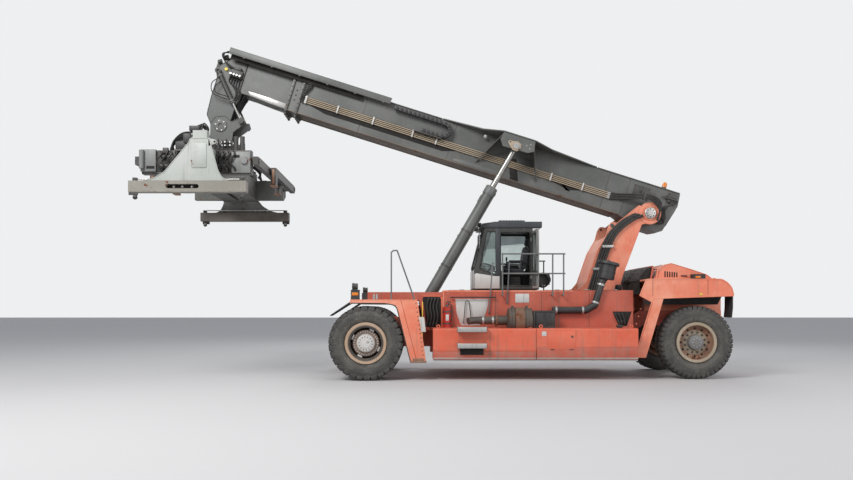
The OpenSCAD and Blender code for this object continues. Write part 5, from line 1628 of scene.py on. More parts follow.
@dataclass
class Rear(Assembly):
    """Rear fenders' lips, engine covers' seams and grille, tail lamps, flaps and tow bar."""

    out: float = 1.64

    def fenders(self) -> None:
        """Adds the lip along the wheel arch, the side seams, the marks and the rubber flaps."""
        arch = [(5.86, 0.5), (6.085, 0.5), (6.5, 1.838), (6.56, 1.836), (8.325, 1.896)]
        self.pair(SHOP.pipe("rear_arch_lip", [(x, -1.635, z) for x, z in arch], 0.013, 0.06), "body_paint")
        top = [(6.2, 1.9), (6.352, 2.27), (8.06, 2.27), (8.195, 2.188), (8.285, 2.08), (8.325, 1.91)]
        self.pair(SHOP.pipe("rear_top_edge", [(x, -1.637, z) for x, z in top], 0.016, 0.05), "body_paint")
        self.blocks("rear_side_seams", "dark_steel",
                    [((6.49, -1.643, 1.9), (6.498, -1.638, 2.26)),
                     ((7.74, -1.643, 1.92), (7.748, -1.638, 2.26))], 0.001, True)
        self.blocks("rear_reflector", "yellow_plastic", [((7.55, -1.648, 1.915), (7.62, -1.64, 1.955))],
                    0.002, True)
        flap = [(8.3, 1.905), (8.325, 1.905), (8.322, 1.62), (8.3, 1.4), (8.275, 1.405), (8.297, 1.625)]
        self.pair(SHOP.slab("rear_flap", flap, -1.62, -1.16, 0.003), "black_rubber")
        # painted shade: a near-black liner inside the arch stands for the shade on the counterweight's inner
        # side
        shade_liner = [(6.47, 1.7), (6.47, 2.238), (8.16, 2.238), (8.26, 2.08), (8.28, 1.9), (8.18, 1.7)]
        self.pair(SHOP.slab("arch_shade_liner", shade_liner, -1.05, -1.03, 0.003), "shadow_grey")
        bolts = [((6.22 - 0.3 * i / 6, -self.out, 1.6 - 1.02 * i / 6), TO_LEFT) for i in range(7)]
        self.pair(SHOP.bolts("rear_post_bolts", bolts, 0.012, 0.009), "body_paint")

    def covers(self) -> None:
        """Adds the grille before the covers, with its frames, the covers' seams, handles and slots."""
        lean = math.atan2(0.325, 0.275)
        bars = [SHOP.block("bar", (-0.235, -1.05 + 0.06 * i, 0.0), (0.2, -1.03 + 0.06 * i, 0.012), 0.003)
                for i in range(36)]
        grille = SHOP.joined("cooler_grille", bars)
        SHOP.place(grille, Matrix.Translation((6.425, 0, 2.425)) @ Matrix.Rotation(-lean, 4, "Y"))
        self.add(grille, "black_plastic")
        rims = [((6.31, y, 2.285), (6.335, y + 0.03, 2.32)) for y in (-1.08, 1.05)]
        self.blocks("grille_feet", "dark_steel", rims, 0.004)
        for i, (x, z, tall, look) in enumerate(((6.6, 2.29, 0.3, "shaded_red"),
                                                (6.72, 2.29, 0.25, "body_paint"))):
            loop = [(x, -1.11, z), (x + 0.05, -1.11, z + tall), (x + 0.05, 1.11, z + tall), (x, 1.11, z)]
            self.add(SHOP.pipe(f"cover_frame_{i}", loop, 0.022, 0.06), look)
        ridge = [(6.66, 2.285), (6.9, 2.612), (7.07, 2.667), (7.58, 2.511), (7.91, 2.399), (8.055, 2.285)]
        for name, y, look in (("cover_seam_outer", 1.101, "body_paint"),
                              ("cover_seam_inner", 0.36, "dark_steel")):
            self.pair(SHOP.pipe(name, [(x, -y, z - 0.004) for x, z in ridge], 0.008, 0.03), look)
        self.blocks("cover_handles", "black_plastic",
                    [((7.3, -1.125, 2.36), (7.44, -1.1, 2.385)), ((7.68, -1.125, 2.33), (7.8, -1.1, 2.352))],
                    0.006, True)
        # painted shade: near-black strips stand for the shade in the covers' slots
        slots = [((6.92 + 0.055 * i, -1.108, 2.34), (6.945 + 0.055 * i, -1.099, 2.48 - 0.006 * i))
                 for i in range(6)]
        self.blocks("cover_slots", "engine_gloom", slots, 0.002, True)

    def tail(self) -> None:
        """Adds tail lamps and markers, the tow bar and the lifting eyes."""
        x = 7.77
        self.blocks("tail_lenses", "red_glass", [((x - 0.004, -1.39, 2.295), (x + 0.01, -1.31, 2.385))],
                    0.004, True)
        self.blocks("tail_markers", "amber_plastic",
                    [((x - 0.004, -1.295, 2.295), (x + 0.01, -1.215, 2.385)),
                     ((7.54, -1.41, 2.31), (7.66, -1.398, 2.355))], 0.004, True)
        jaws = [SHOP.block("jaw", (8.2, -0.1, z), (8.43, 0.1, z + 0.035), 0.008) for z in (0.6, 0.72)]
        self.add(SHOP.joined("tow_bar", [*jaws, SHOP.rod("pin", (8.38, 0, 0.57), (8.38, 0, 0.79), 0.022)]),
                 "dark_steel")
        spots = [((8.3, y, 2.275), OUTWARD) for y in (-0.48, 0.48)]
        self.add(SHOP.turned_at("rear_eyes", hoop(0.035, 0.07, -0.018, 0.018), 28, spots, 0.004),
                 "body_paint")

    def build(self) -> None:
        """Builds the rear's details."""
        self.fenders()
        self.covers()
        self.tail()


@dataclass
class Underbody(Assembly):
    """Drive shaft, gearbox, hoses and lines between the beams, and the axles' fittings."""

    def build(self) -> None:
        """Builds what is seen from below and between the wheels."""
        shaft = [(0, 0), (0.095, 0), (0.095, 0.05), (0.055, 0.09), (0.055, 1.15), (0.095, 1.19),
                 (0.095, 1.24), (0, 1.24)]
        self.add(SHOP.turned("drive_shaft", shaft, 32, (0.36, 0, 0.86), (1, 0, 0.03)), "dark_steel")
        self.blocks("gearbox", "cast_block", [((1.62, -0.28, 0.72), (2.3, 0.28, 1.12)),
                                              ((2.3, -0.2, 0.78), (2.62, 0.2, 1.06))], 0.03)
        self.bolt_ring("gearbox_bolts", "bare_metal", (1.62, 0, 0.92), AHEAD, 0.15, 10, 0.012, 0.01)
        lines = [SHOP.pipe("line", [(0.9, y, 0.98), (2.0, y, 0.9), (4.6, y, 0.9), (5.3, y * 1.5, 0.98)],
                           0.014, 0.1) for y in (-0.36, -0.32, 0.32, 0.36)]
        self.add(SHOP.joined("oil_lines", lines), "bare_metal")
        drums = [(0.2, -0.02), (0.292, -0.02), (0.3, 0.0), (0.292, 0.02), (0.2, 0.02)]
        self.pair(SHOP.turned("brake_ring", drums, 56, (0, -0.76, 0.835), OUTWARD), "dark_steel")
        self.pair(SHOP.hose("brake_hose", [(0.1, -0.74, 1.1), (0.26, -0.66, 1.16), (0.34, -0.5, 1.08),
                                           (0.4, -0.44, 0.98)], 0.014), "black_rubber")
        self.bolt_ring("axle_bolts", "bare_metal", (0.27, 0, 0.835), BACK, 0.17, 12, 0.014, 0.03)
        self.pair(SHOP.hose("steering_hose", [(7.23, -0.4, 0.9), (7.1, -0.34, 1.02), (6.95, -0.38, 1.1),
                                              (6.8, -0.42, 1.12)], 0.014), "black_rubber")


@dataclass
class Cab(Assembly):
    """The cab: glass, seals, panels, roof lamps, mirror, wiper, seat and console fittings."""

    body: str = "cab"
    half: float = 0.665
    pad_cuts: int = 15
    pad_pull: float = 0.02
    channel: float = 0.012

    def glazing(self) -> None:
        """Adds the panes and the rubber seals round them."""
        lean = 0.2626
        front = [(2.533 + lean * (z - 2.56), z) for z in (2.585, 3.475)]
        pane = [front[0], front[1], (front[1][0] + 0.008, front[1][1]), (front[0][0] + 0.008, front[0][1])]
        self.add(SHOP.slab("windscreen", pane, -0.585, 0.585, 0.001), "window_glass")
        self.blocks("rear_pane", "window_glass", [((4.03, -0.585, 2.57), (4.038, 0.585, 3.47))], 0.001)
        quarter = [(2.632, 2.56), (2.825, 3.45), (3.028, 3.45), (3.028, 2.415)]
        self.add(SHOP.slab("quarter_pane", quarter, -0.644, -0.636, 0.001), "window_glass")
        side = [(2.632, 2.553), (2.825, 3.45), (3.91, 3.45), (3.91, 2.553)]
        self.add(SHOP.slab("side_pane", side, 0.636, 0.644, 0.001), "window_glass")
        loops = (("quarter_seal", quarter, -self.half - 0.001), ("side_seal", side, self.half + 0.001),
                 ("doorway_seal", [(3.14, 2.15), (3.14, 3.435), (3.842, 3.435), (3.842, 2.15)],
                  -self.half - 0.001))
        for name, loop, y in loops:
            self.add(SHOP.pipe(name, [(x, y, z) for x, z in (*loop, loop[0])], 0.011, 0.04), "black_rubber")
        for name, x0, x1, z0, z1 in (("windscreen_seal", 2.522, 2.744, 2.6, 3.455),
                                     ("rear_seal", 4.061, 4.061, 2.585, 3.455)):
            corners = [(x0, -0.575, z0), (x0, 0.575, z0), (x1, 0.575, z1), (x1, -0.575, z1), (x0, -0.575, z0)]
            self.add(SHOP.pipe(name, corners, 0.012, 0.05), "black_rubber")

    def outside(self) -> None:
        """Adds the pale panels, the dark pillar and roof, the lamps, the mirror and the wiper."""
        lower = [(2.517, 2.085), (2.517, 2.425), (2.56, 2.45), (3.0, 2.38), (3.115, 2.38), (3.115, 2.085)]
        self.pair(SHOP.slab("lower_panel", lower, -self.half - 0.006, -self.half, 0.002), "white_paint")
        self.blocks("rear_post", "white_paint", [((3.905, -self.half - 0.006, 2.09),
                                                  (4.055, -self.half, 3.52))], 0.003)
        self.blocks("front_panel", "white_paint", [((2.503, -0.6, 2.09), (2.511, 0.6, 2.53))], 0.003)
        self.blocks("pillar_post", "roof_paint", [((3.032, -self.half - 0.01, 2.39),
                                                   (3.125, -self.half, 3.52))], 0.004, True)
        roof = [(2.64, 3.538), (2.7, 3.635), (3.0, 3.677), (4.125, 3.677), (4.125, 3.538)]
        self.pair(SHOP.slab("roof_edge", roof, -self.half - 0.03, -self.half - 0.018, 0.004), "roof_paint")
        self.blocks("roof_skin", "roof_paint", [((3.0, -0.685, 3.668), (4.12, 0.685, 3.68)),
                                                ((3.12, -0.45, 3.678), (3.75, 0.45, 3.735))], 0.012)
        ribs = [((3.16 + 0.07 * i, -0.4, 3.733), (3.185 + 0.07 * i, 0.4, 3.745)) for i in range(8)]
        self.blocks("roof_ribs", "black_plastic", ribs, 0.003)
        for i, y in enumerate((-0.52, 0.52)):
            self.blocks(f"roof_lamp_{i}", "black_plastic",
                        [((2.6, y - 0.085, 3.56), (2.69, y + 0.085, 3.66))], 0.012)
            self.add(SHOP.turned(f"roof_lens_{i}",
                                 [(0, 0), (0.042, 0), (0.042, 0.01), (0.02, 0.015), (0, 0.016)], 28,
                                 (2.601, y, 3.61), AHEAD), "lamp_glass")
        arm = [(2.7, -0.66, 3.42), (2.62, -0.86, 3.42), (2.6, -0.9, 3.3)]
        stay = [(2.64, -0.66, 2.98), (2.6, -0.88, 2.98), (2.6, -0.9, 3.04)]
        arms = [SHOP.pipe("arm", arm, 0.011, 0.06), SHOP.pipe("arm", stay, 0.011, 0.05)]
        self.add(SHOP.joined("mirror_arm", arms), "black_plastic")
        self.blocks("mirror_shell", "black_plastic", [((2.575, -0.985, 3.01), (2.615, -0.815, 3.33))], 0.018)
        self.blocks("mirror_pane", "mirror_glass", [((2.612, -0.965, 3.03), (2.619, -0.835, 3.31))], 0.003)
        wiper = [SHOP.rod("arm", (2.5, 0.05, 2.58), (2.625, -0.26, 3.12), 0.007, 12),
                 SHOP.rod("blade", (2.565, -0.3, 2.8), (2.7, -0.2, 3.38), 0.006, 12),
                 SHOP.rod("hub", (2.53, 0.05, 2.56), (2.49, 0.05, 2.57), 0.02, 20)]
        self.add(SHOP.joined("wiper", wiper), "black_plastic")
        # painted shade: near-black strips stand for the shade in the vents
        vents = [((4.338, -0.46 + 0.034 * i, 2.22), (4.346, -0.442 + 0.034 * i, 2.42)) for i in range(9)]
        self.blocks("unit_vents", "engine_gloom", vents, 0.002)
        runs = [[(4.064, -0.6 + 0.03 * i, 2.42), (4.2 + 0.02 * i, -0.61 + 0.02 * i, 2.44),
                 (4.3 + 0.01 * i, -0.6, 2.28), (4.2, -0.59, 2.13), (4.064, -0.58 + 0.02 * i, 2.15 + 0.02 * i)]
                for i in range(4)]
        self.hose_set("cab_hose", 0.02, runs)
        self.blocks("cab_skirt", "black_plastic", [((2.53, -0.655, 2.055), (4.05, 0.655, 2.082))], 0.006)

    def cushion(self, name: str, low: Point, high: Point, crown: float, matrix: Matrix) -> None:
        """Adds one stuffed pad with pulled-in sides and sewn channels.

        Args:
            name: the piece's name.
            low: lowest corner before it is placed.
            high: highest corner.
            crown: how far the top bulges.
            matrix: where the pad goes in the cab.
        """
        piece = SHOP.block(name, low, high, 0.0)
        SHOP.only(piece)
        bpy.ops.object.mode_set(mode="EDIT")
        bpy.ops.mesh.select_all(action="SELECT")
        bpy.ops.mesh.subdivide(number_cuts=self.pad_cuts)
        bpy.ops.object.mode_set(mode="OBJECT")
        middle = (Vector(low) + Vector(high)) / 2
        half = (Vector(high) - Vector(low)) / 2
        for corner in piece.data.vertices:
            u, v, w = ((corner.co[i] - middle[i]) / half[i] for i in range(3))
            puff = (1 - u ** 4) * (1 - v ** 4)
            groove = max(0.0, 1 - abs(abs(v) - 0.55) * 14) + max(0.0, 1 - abs(u + 0.1) * 14)
            corner.co.z += (crown * puff - self.channel * min(groove, 1.0) * (w > 0)) * w
            corner.co.x -= self.pad_pull * u * (v ** 4) * (1 - w * w * 0.4)
            corner.co.y -= self.pad_pull * v * (u ** 4) * (1 - w * w * 0.4)
        smooth = piece.modifiers.new("soft", "SUBSURF")
        smooth.levels = smooth.render_levels = 1
        SHOP.only(piece)
        bpy.ops.object.modifier_apply(modifier=smooth.name)
        bpy.ops.object.shade_smooth()
        SHOP.place(piece, matrix)
        self.add(piece, "seat_cloth", "cab_seat")

    def seat(self) -> None:
        """Adds the seat: bellows, pads, headrest, armrests and the stays behind it."""
        self.cushion("seat_cushion", (3.25, -0.25, 2.455), (3.76, 0.25, 2.555), 0.022, STILL)
        lean = Matrix.Translation((3.735, 0, 2.56)) @ Matrix.Rotation(math.radians(10.5 - 90), 4, "Y")
        self.cushion("seat_back", (0.01, -0.235, -0.045), (0.56, 0.235, 0.055), 0.022, lean)
        self.cushion("seat_headrest", (0.6, -0.13, -0.035), (0.76, 0.13, 0.045), 0.012, lean)
        base = [SHOP.block("base", (3.33, -0.19, 2.131), (3.7, 0.19, 2.18), 0.01),
                SHOP.block("pan", (3.27, -0.23, 2.425), (3.76, 0.23, 2.455), 0.01)]
        folds = [(0.012 * (i % 2), z) for i, z in evenly(7, 2.18, 0.035)]
        base += [SHOP.block("fold", (3.345 + t, t - 0.18, z), (3.685 - t, 0.18 - t, z + 0.037), 0.012)
                 for t, z in folds]
        self.add(SHOP.joined("seat_base", base), "black_rubber", "cab_seat")
        arms = [SHOP.block("arm", (3.38, y - 0.03, 2.74), (3.74, y + 0.03, 2.78), 0.014) for y in (-0.3, 0.3)]
        self.add(SHOP.joined("seat_arms", arms), "black_plastic")
        self.add(SHOP.pipe("seat_stays", [(3.86, -0.05, 3.1), (3.885, -0.05, 3.2), (3.885, 0.05, 3.2),
                                          (3.86, 0.05, 3.1)], 0.008, 0.03), "bright_steel")

    def inside(self) -> None:
        """Adds the screen, the side console, the lever, the pedals and the floor mat."""
        self.blocks("screen", "black_plastic", [((2.7, 0.18, 2.76), (2.73, 0.44, 2.94)),
                                                ((2.71, 0.29, 2.56), (2.73, 0.33, 2.78))], 0.008)
        self.blocks("side_console", "black_plastic",
                    [((3.3, 0.32, 2.14), (3.78, 0.52, 2.66)), ((3.32, 0.34, 2.66), (3.7, 0.5, 2.69))], 0.02)
        lever = [(0, 0), (0.035, 0), (0.012, 0.03), (0.01, 0.11), (0.022, 0.13), (0.024, 0.19), (0.012, 0.21),
                 (0, 0.212)]
        self.add(SHOP.turned("lever", lever, 28, (3.4, 0.42, 2.69)), "black_plastic")
        pedals = [((2.76, y, 2.17), (2.84, y + 0.08, 2.19)) for y in (-0.42, -0.28, 0.2)]
        self.blocks("pedals", "dark_steel", pedals, 0.006)
        self.blocks("floor_mat", "black_rubber", [((2.58, -0.6, 2.1315), (3.3, 0.6, 2.139))], 0.003)
        self.blocks("sill_plate", "bare_metal", [((3.1411, -0.66, 2.131), (3.84, -0.6, 2.136))], 0.002)
        grip = SHOP.turned("wheel_grip", [(0.172, -0.018), (0.208, -0.018), (0.212, 0), (0.208, 0.018),
                                          (0.172, 0.018), (0.168, 0)], 40, (0, 0, 0), UP, 0.004)
        SHOP.place(grip, Matrix.Translation((2.96, 0, 2.69)) @ Matrix.Rotation(math.radians(30), 4, "Y"))
        self.add(grip, "black_rubber")

    def build(self) -> None:
        """Builds the cab."""
        self.glazing()
        self.outside()
        self.seat()
        self.inside()
        door = Assembly("cab_door", self.frame)
        door.blocks("door_pane", "window_glass", [((3.901, -1.376, 2.475), (3.908, -0.757, 3.375))], 0.001)
        loop = [(3.884, -1.371, 2.48), (3.884, -1.371, 3.37), (3.884, -0.761, 3.37), (3.884, -0.761, 2.48),
                (3.884, -1.371, 2.48)]
        door.add(SHOP.pipe("door_seal", loop, 0.012, 0.05), "black_rubber")
        door.add(SHOP.pipe("door_grip", [(3.88, -1.34, 2.44), (3.845, -1.34, 2.44), (3.845, -1.02, 2.4),
                                         (3.88, -1.02, 2.4)], 0.011, 0.03), "black_plastic")
        door.blocks("door_latch", "dark_steel", [((3.885, -1.437, 2.36), (3.925, -1.418, 2.48))], 0.004)


@dataclass
class Boom(Assembly):
    """The outer boom: doublers, slots, collars, hoses, drag chain, the wings' ears and the beacon."""

    body: str = "boom"
    frame: Matrix = field(default_factory=boom_frame)
    half: float = 0.365
    top: float = 0.71
    low: float = -0.2

    def sides(self) -> None:
        """Adds the doubler plates, the slots as patches of painted shade, the flanges, the weld seams and the
        long painted shadow along the pipes.
        """
        doubler = [(-4.888, -0.19), (-4.888, -0.12), (-4.62, -0.07), (-4.346, 0.03), (-4.12, 0.15),
                   (-3.918, 0.273), (-3.76, 0.37), (-3.6, 0.427),
                   (-3.1, 0.4), (-2.927, 0.333), (-2.8, 0.22), (-2.69, 0.113), (-2.48, 0.0), (-2.249, -0.084),
                   (-1.804, -0.162), (-1.804, -0.19)]
        self.pair(SHOP.slab("boom_doubler", doubler, -self.half - 0.012, -self.half, 0.002), "boom_paint")
        # painted shade: a near-black patch stands for the shade in the slot
        slot = [(-3.6, 0.3), (-3.42, 0.32), (-3.22, -0.185), (-3.43, -0.185)]
        self.pair(SHOP.slab("boom_slot_shade", slot, -self.half - 0.014, -self.half - 0.01, 0.001), "engine_gloom")
        # painted shadow: near-black bands behind and under the pipes, where they shade the boom's side
        for i, (a, b) in enumerate(((8.66, 4.9), (2.45, 1.75))):
            shadow_outline = [(-a, 0.075), (-a - 0.05, 0.1), (-a - 0.05, 0.22), (-a, 0.245), (-b, 0.245), (-b, 0.06),
                   (-b - 0.3, -0.03), (-a + 0.5, -0.03)]
            self.pair(SHOP.slab(f"pipe_bed_{i}", shadow_outline, -self.half - 0.006, -self.half, 0.001), "engine_gloom")
        low_edge = [((-9.08, -self.half - 0.018, self.low - 0.016),
                     (-0.72, -self.half + 0.05, self.low + 0.01))]
        self.blocks("boom_low_flange", "flange_paint", low_edge, 0.004, True)
        self.blocks("boom_belly", "flange_paint", [((-8.8, -self.half + 0.01, self.low - 0.006),
                                                    (-0.75, self.half - 0.01, self.low))], 0.002)
        top_edge = [((-9.08, -self.half - 0.03, self.top - 0.004),
                     (-5.42, -self.half + 0.05, self.top + 0.018)),
                    ((-1.48, -self.half - 0.03, self.top - 0.004),
                     (0.6, -self.half + 0.05, self.top + 0.018))]
        self.blocks("boom_top_flange", "boom_paint", top_edge, 0.004, True)
        seams = [((-x, -self.half - 0.004, self.low + 0.02),
                  (-x + 0.012, -self.half + 0.001, self.top - 0.02)) for x in (1.15, 0.64, 5.05, 7.3)]
        self.blocks("boom_seams", "boom_dark", seams, 0.002, True)
        plate = [(-0.5, 0.38), (-0.5, 0.62), (-0.1, 0.62), (-0.1, 0.3)]
        self.pair(SHOP.slab("boom_side_hatch", plate, -self.half - 0.01, -self.half, 0.003), "boom_dark")
        places = ((-0.47, 0.59), (-0.3, 0.59), (-0.13, 0.59), (-0.47, 0.41), (-0.13, 0.35))
        spots = [((x, -self.half - 0.01, z), TO_LEFT) for x, z in places]
        self.pair(SHOP.bolts("hatch_bolts", spots, 0.012, 0.01), "dark_steel")

    def collars(self) -> None:
        """Adds dark frames over both collars with their bolts and the teeth below."""
        bars, spots, teeth = [], [], []
        for along in (9.11, 8.86):
            x0, x1 = -along - 0.03, -along + 0.03
            inner, outer = self.half + 0.028, self.half + 0.042
            bars += [((x0, -outer, self.low - 0.04), (x1, -inner, self.top + 0.04)),
                     ((x0, inner, self.low - 0.04), (x1, outer, self.top + 0.04)),
                     ((x0, -outer, self.top + 0.028), (x1, outer, self.top + 0.042)),
                     ((x0, -outer, self.low - 0.045), (x1, outer, self.low - 0.031))]
            spots += [((-along, side * (self.half + 0.042), self.low + 0.1 + 0.1175 * i), (0, side, 0))
                      for side in (-1.0, 1.0) for i in range(7)]
            teeth += [((-along - 0.025, y - 0.05, self.low - 0.13),
                       (-along + 0.025, y + 0.05, self.low - 0.03)) for y in (-0.3, -0.1, 0.1, 0.3)]
        self.blocks("collar_frames", "boom_paint", bars, 0.004)
        self.add(SHOP.bolts("collar_bolts", spots, 0.014, 0.01), "boom_dark")
        self.blocks("collar_teeth", "boom_dark", teeth, 0.012)
        screws = [((-8.985, side * (self.half + 0.001), z), (0, side, 0)) for side in (-1.0, 1.0)
                  for z in (0.08, 0.2, 0.32)]
        self.add(SHOP.bolts("pad_screws", screws, 0.018, 0.014), "dark_steel")

    def lines(self) -> None:
        """Adds pale clamps and fittings to the pipes, the hoses at both ends, and the drag chain."""
        clamps = [((-x - 0.018, -self.half - 0.085, 0.06), (-x + 0.018, -self.half - 0.06, 0.25))
                  for x in (8.7, 7.9, 7.0, 6.0, 5.4, 2.5, 1.7)]
        self.blocks("pipe_clamps_pale", "white_paint", clamps, 0.004, True)
        rows = evenly(4, 0.09, 0.042)
        out = -self.half - 0.04
        nuts = [SHOP.rod("nut", (-x, out, n), (-x - 0.07, out, n), 0.02, 6) for _, n in rows
                for x in (8.68, 1.0)]
        self.pair(SHOP.joined("pipe_nuts", nuts), "bare_metal")
        runs = [[(-0.99, out, n), (-0.72, out - 0.03, n + 0.06), (-0.4, -0.66, 0.24 + 0.035 * i),
                 (-0.12, -0.72, 0.3 + 0.03 * i), (0.16, -0.71, 0.14 + 0.05 * i),
                 (0.2, -0.68, -0.04 - 0.03 * i)] for i, n in rows]
        self.hose_set("rear_hose", 0.019, runs, True)
        runs = [[(-8.74, out, n), (-8.82, out - 0.035, n + 0.02), (-8.8, out - 0.06, n + 0.16 + 0.03 * i),
                 (-8.66, out - 0.02, 0.5 + 0.03 * i)] for i, n in rows]
        self.hose_set("front_hose", 0.015, runs, True)
        runs = [[(0.3 + 0.05 * i, -0.4, 0.56), (0.46 + 0.03 * i, -0.44, 0.44), (0.36 - 0.03 * i, -0.47, 0.2),
                 (0.42, -0.44, 0.02 - 0.03 * i), (0.3 - 0.06 * i, -0.42, -0.14)] for i in range(5)]
        self.hose_set("tail_hose", 0.017, runs, True)
        box = [SHOP.block("box", (0.36, -0.42, 0.42), (0.56, -0.365, 0.66), 0.01),
               SHOP.block("stay", (0.2, -0.455, 0.5), (0.6, -0.425, 0.53), 0.005),
               SHOP.block("valve", (-0.3, -0.46, 0.4), (0.02, -0.365, 0.52), 0.008),
               SHOP.block("clip", (-0.28, -0.735, 0.24), (-0.24, -0.64, 0.44), 0.006),
               SHOP.block("arm", (-0.28, -0.66, 0.4), (-0.24, -0.365, 0.43), 0.004)]
        self.pair(SHOP.joined("tail_valves", box), "dark_steel")
        route = [(x, 0.6) for _, x in evenly(12, -6.6, 0.11)]
        route += [(-5.31 + 0.16 * math.sin(a), 0.44 + 0.16 * math.cos(a))
                  for a in (math.pi * k / 7 for k in range(1, 7))]
        route += [(x, 0.28) for _, x in evenly(5, -5.39, -0.11)]
        places = []
        for (x0, z0), (x1, z1) in zip(route, route[1:]):
            middle = Matrix.Translation(((x0 + x1) / 2, -self.half - 0.113, (z0 + z1) / 2))
            places.append(middle @ Matrix.Rotation(-math.atan2(z1 - z0, x1 - x0), 4, "Y"))
        link = SHOP.block("link", (-0.05, -0.055, -0.045), (0.05, 0.055, 0.045), 0.01)
        self.add(SHOP.copies("drag_chain", link, places), "black_plastic")
        self.blocks("chain_shelf", "boom_dark", [((-6.0, -self.half - 0.19, 0.205),
                                                  (-5.3, -self.half, 0.23))], 0.004)

    def wings(self) -> None:
        """Adds the ears' pale pin keepers with pin heads and bolts, the wings' edge bar, the lamps, the top
        covers, the rear hatch and the beacon.
        """
        shape = [(0.0, 0.115), (-0.09, 0.09), (-0.2, 0.085), (-0.215, 0.03), (-0.13, -0.06), (-0.05, -0.115),
                 (0.05, -0.115), (0.115, -0.03), (0.1, 0.07)]
        keep = SHOP.slab("pin_keeper", [(x - 3.555, z + 0.47) for x, z in shape], -1.082, -1.06, 0.004)
        self.pair(keep, "tan_paint")
        self.pair(SHOP.turned("pin_head", [(0, 0), (0.07, 0), (0.074, 0.006), (0.07, 0.02), (0.03, 0.022),
                                           (0.026, 0.012), (0, 0.012)], 40, (-3.555, -1.08, 0.47), TO_LEFT),
                  "bare_metal")
        self.pair(SHOP.bolts("keeper_bolts", [((-3.72, -1.082, 0.525), TO_LEFT),
                                              ((-3.47, -1.082, 0.41), TO_LEFT)], 0.014, 0.012), "dark_steel")
        self.pair(SHOP.bolts("ear_bolts", [((-3.24, -1.06, 0.5), TO_LEFT), ((-3.24, -1.06, 0.6), TO_LEFT),
                                           ((-3.33, -1.06, 0.55), TO_LEFT)], 0.014, 0.012), "bare_metal")
        rim = [(-5.4, -0.372, 0.721), (-4.4, -0.625, 0.721), (-3.93, -1.064, 0.721), (-3.16, -1.064, 0.721),
               (-2.7, -0.704, 0.721), (-1.5, -0.372, 0.721)]
        self.pair(SHOP.pipe("wing_rim", rim, 0.017, 0.03), "boom_paint")
        lamp = [(0, 0), (0.04, 0), (0.042, 0.02), (0.042, 0.06), (0, 0.06)]
        self.pair(SHOP.turned("wing_lamp", lamp, 28, (-4.3, -0.47, 0.62), (0, -0.3, -1)), "lamp_glass")
        dome = [(0, 0.03), (0.055, 0.03), (0.057, 0.1), (0.048, 0.135), (0.025, 0.155), (0, 0.16)]
        foot = [(0, 0), (0.07, 0), (0.07, 0.012), (0.06, 0.016), (0.06, 0.032), (0, 0.032)]
        self.add(SHOP.turned("beacon_foot", foot, 32, (0.21, -0.3, 0.728)), "black_plastic")
        self.add(SHOP.turned("beacon_dome", dome, 32, (0.21, -0.3, 0.728)), "amber_plastic")
        covers = [((-x - 0.16, -0.24, self.top), (-x + 0.16, 0.24, self.top + 0.014))
                  for x in (0.0, 1.0, 8.3)]
        self.blocks("top_covers", "boom_dark", covers, 0.004)
        spots = [((-x + 0.13 * a, 0.21 * b, self.top + 0.014), UP) for x in (0.0, 1.0, 8.3) for a in (-1, 1)
                 for b in (-1, 1)]
        self.add(SHOP.bolts("cover_bolts", spots, 0.012, 0.01), "bare_metal")
        rear = SHOP.slab("rear_hatch", [(0.655, 0.34), (0.667, 0.34), (0.545, -0.12), (0.533, -0.12)], -0.24,
                         0.24, 0.003)
        self.add(rear, "boom_dark")

    def build(self) -> None:
        """Builds the outer boom's details."""
        self.sides()
        self.collars()
        self.lines()
        self.wings()


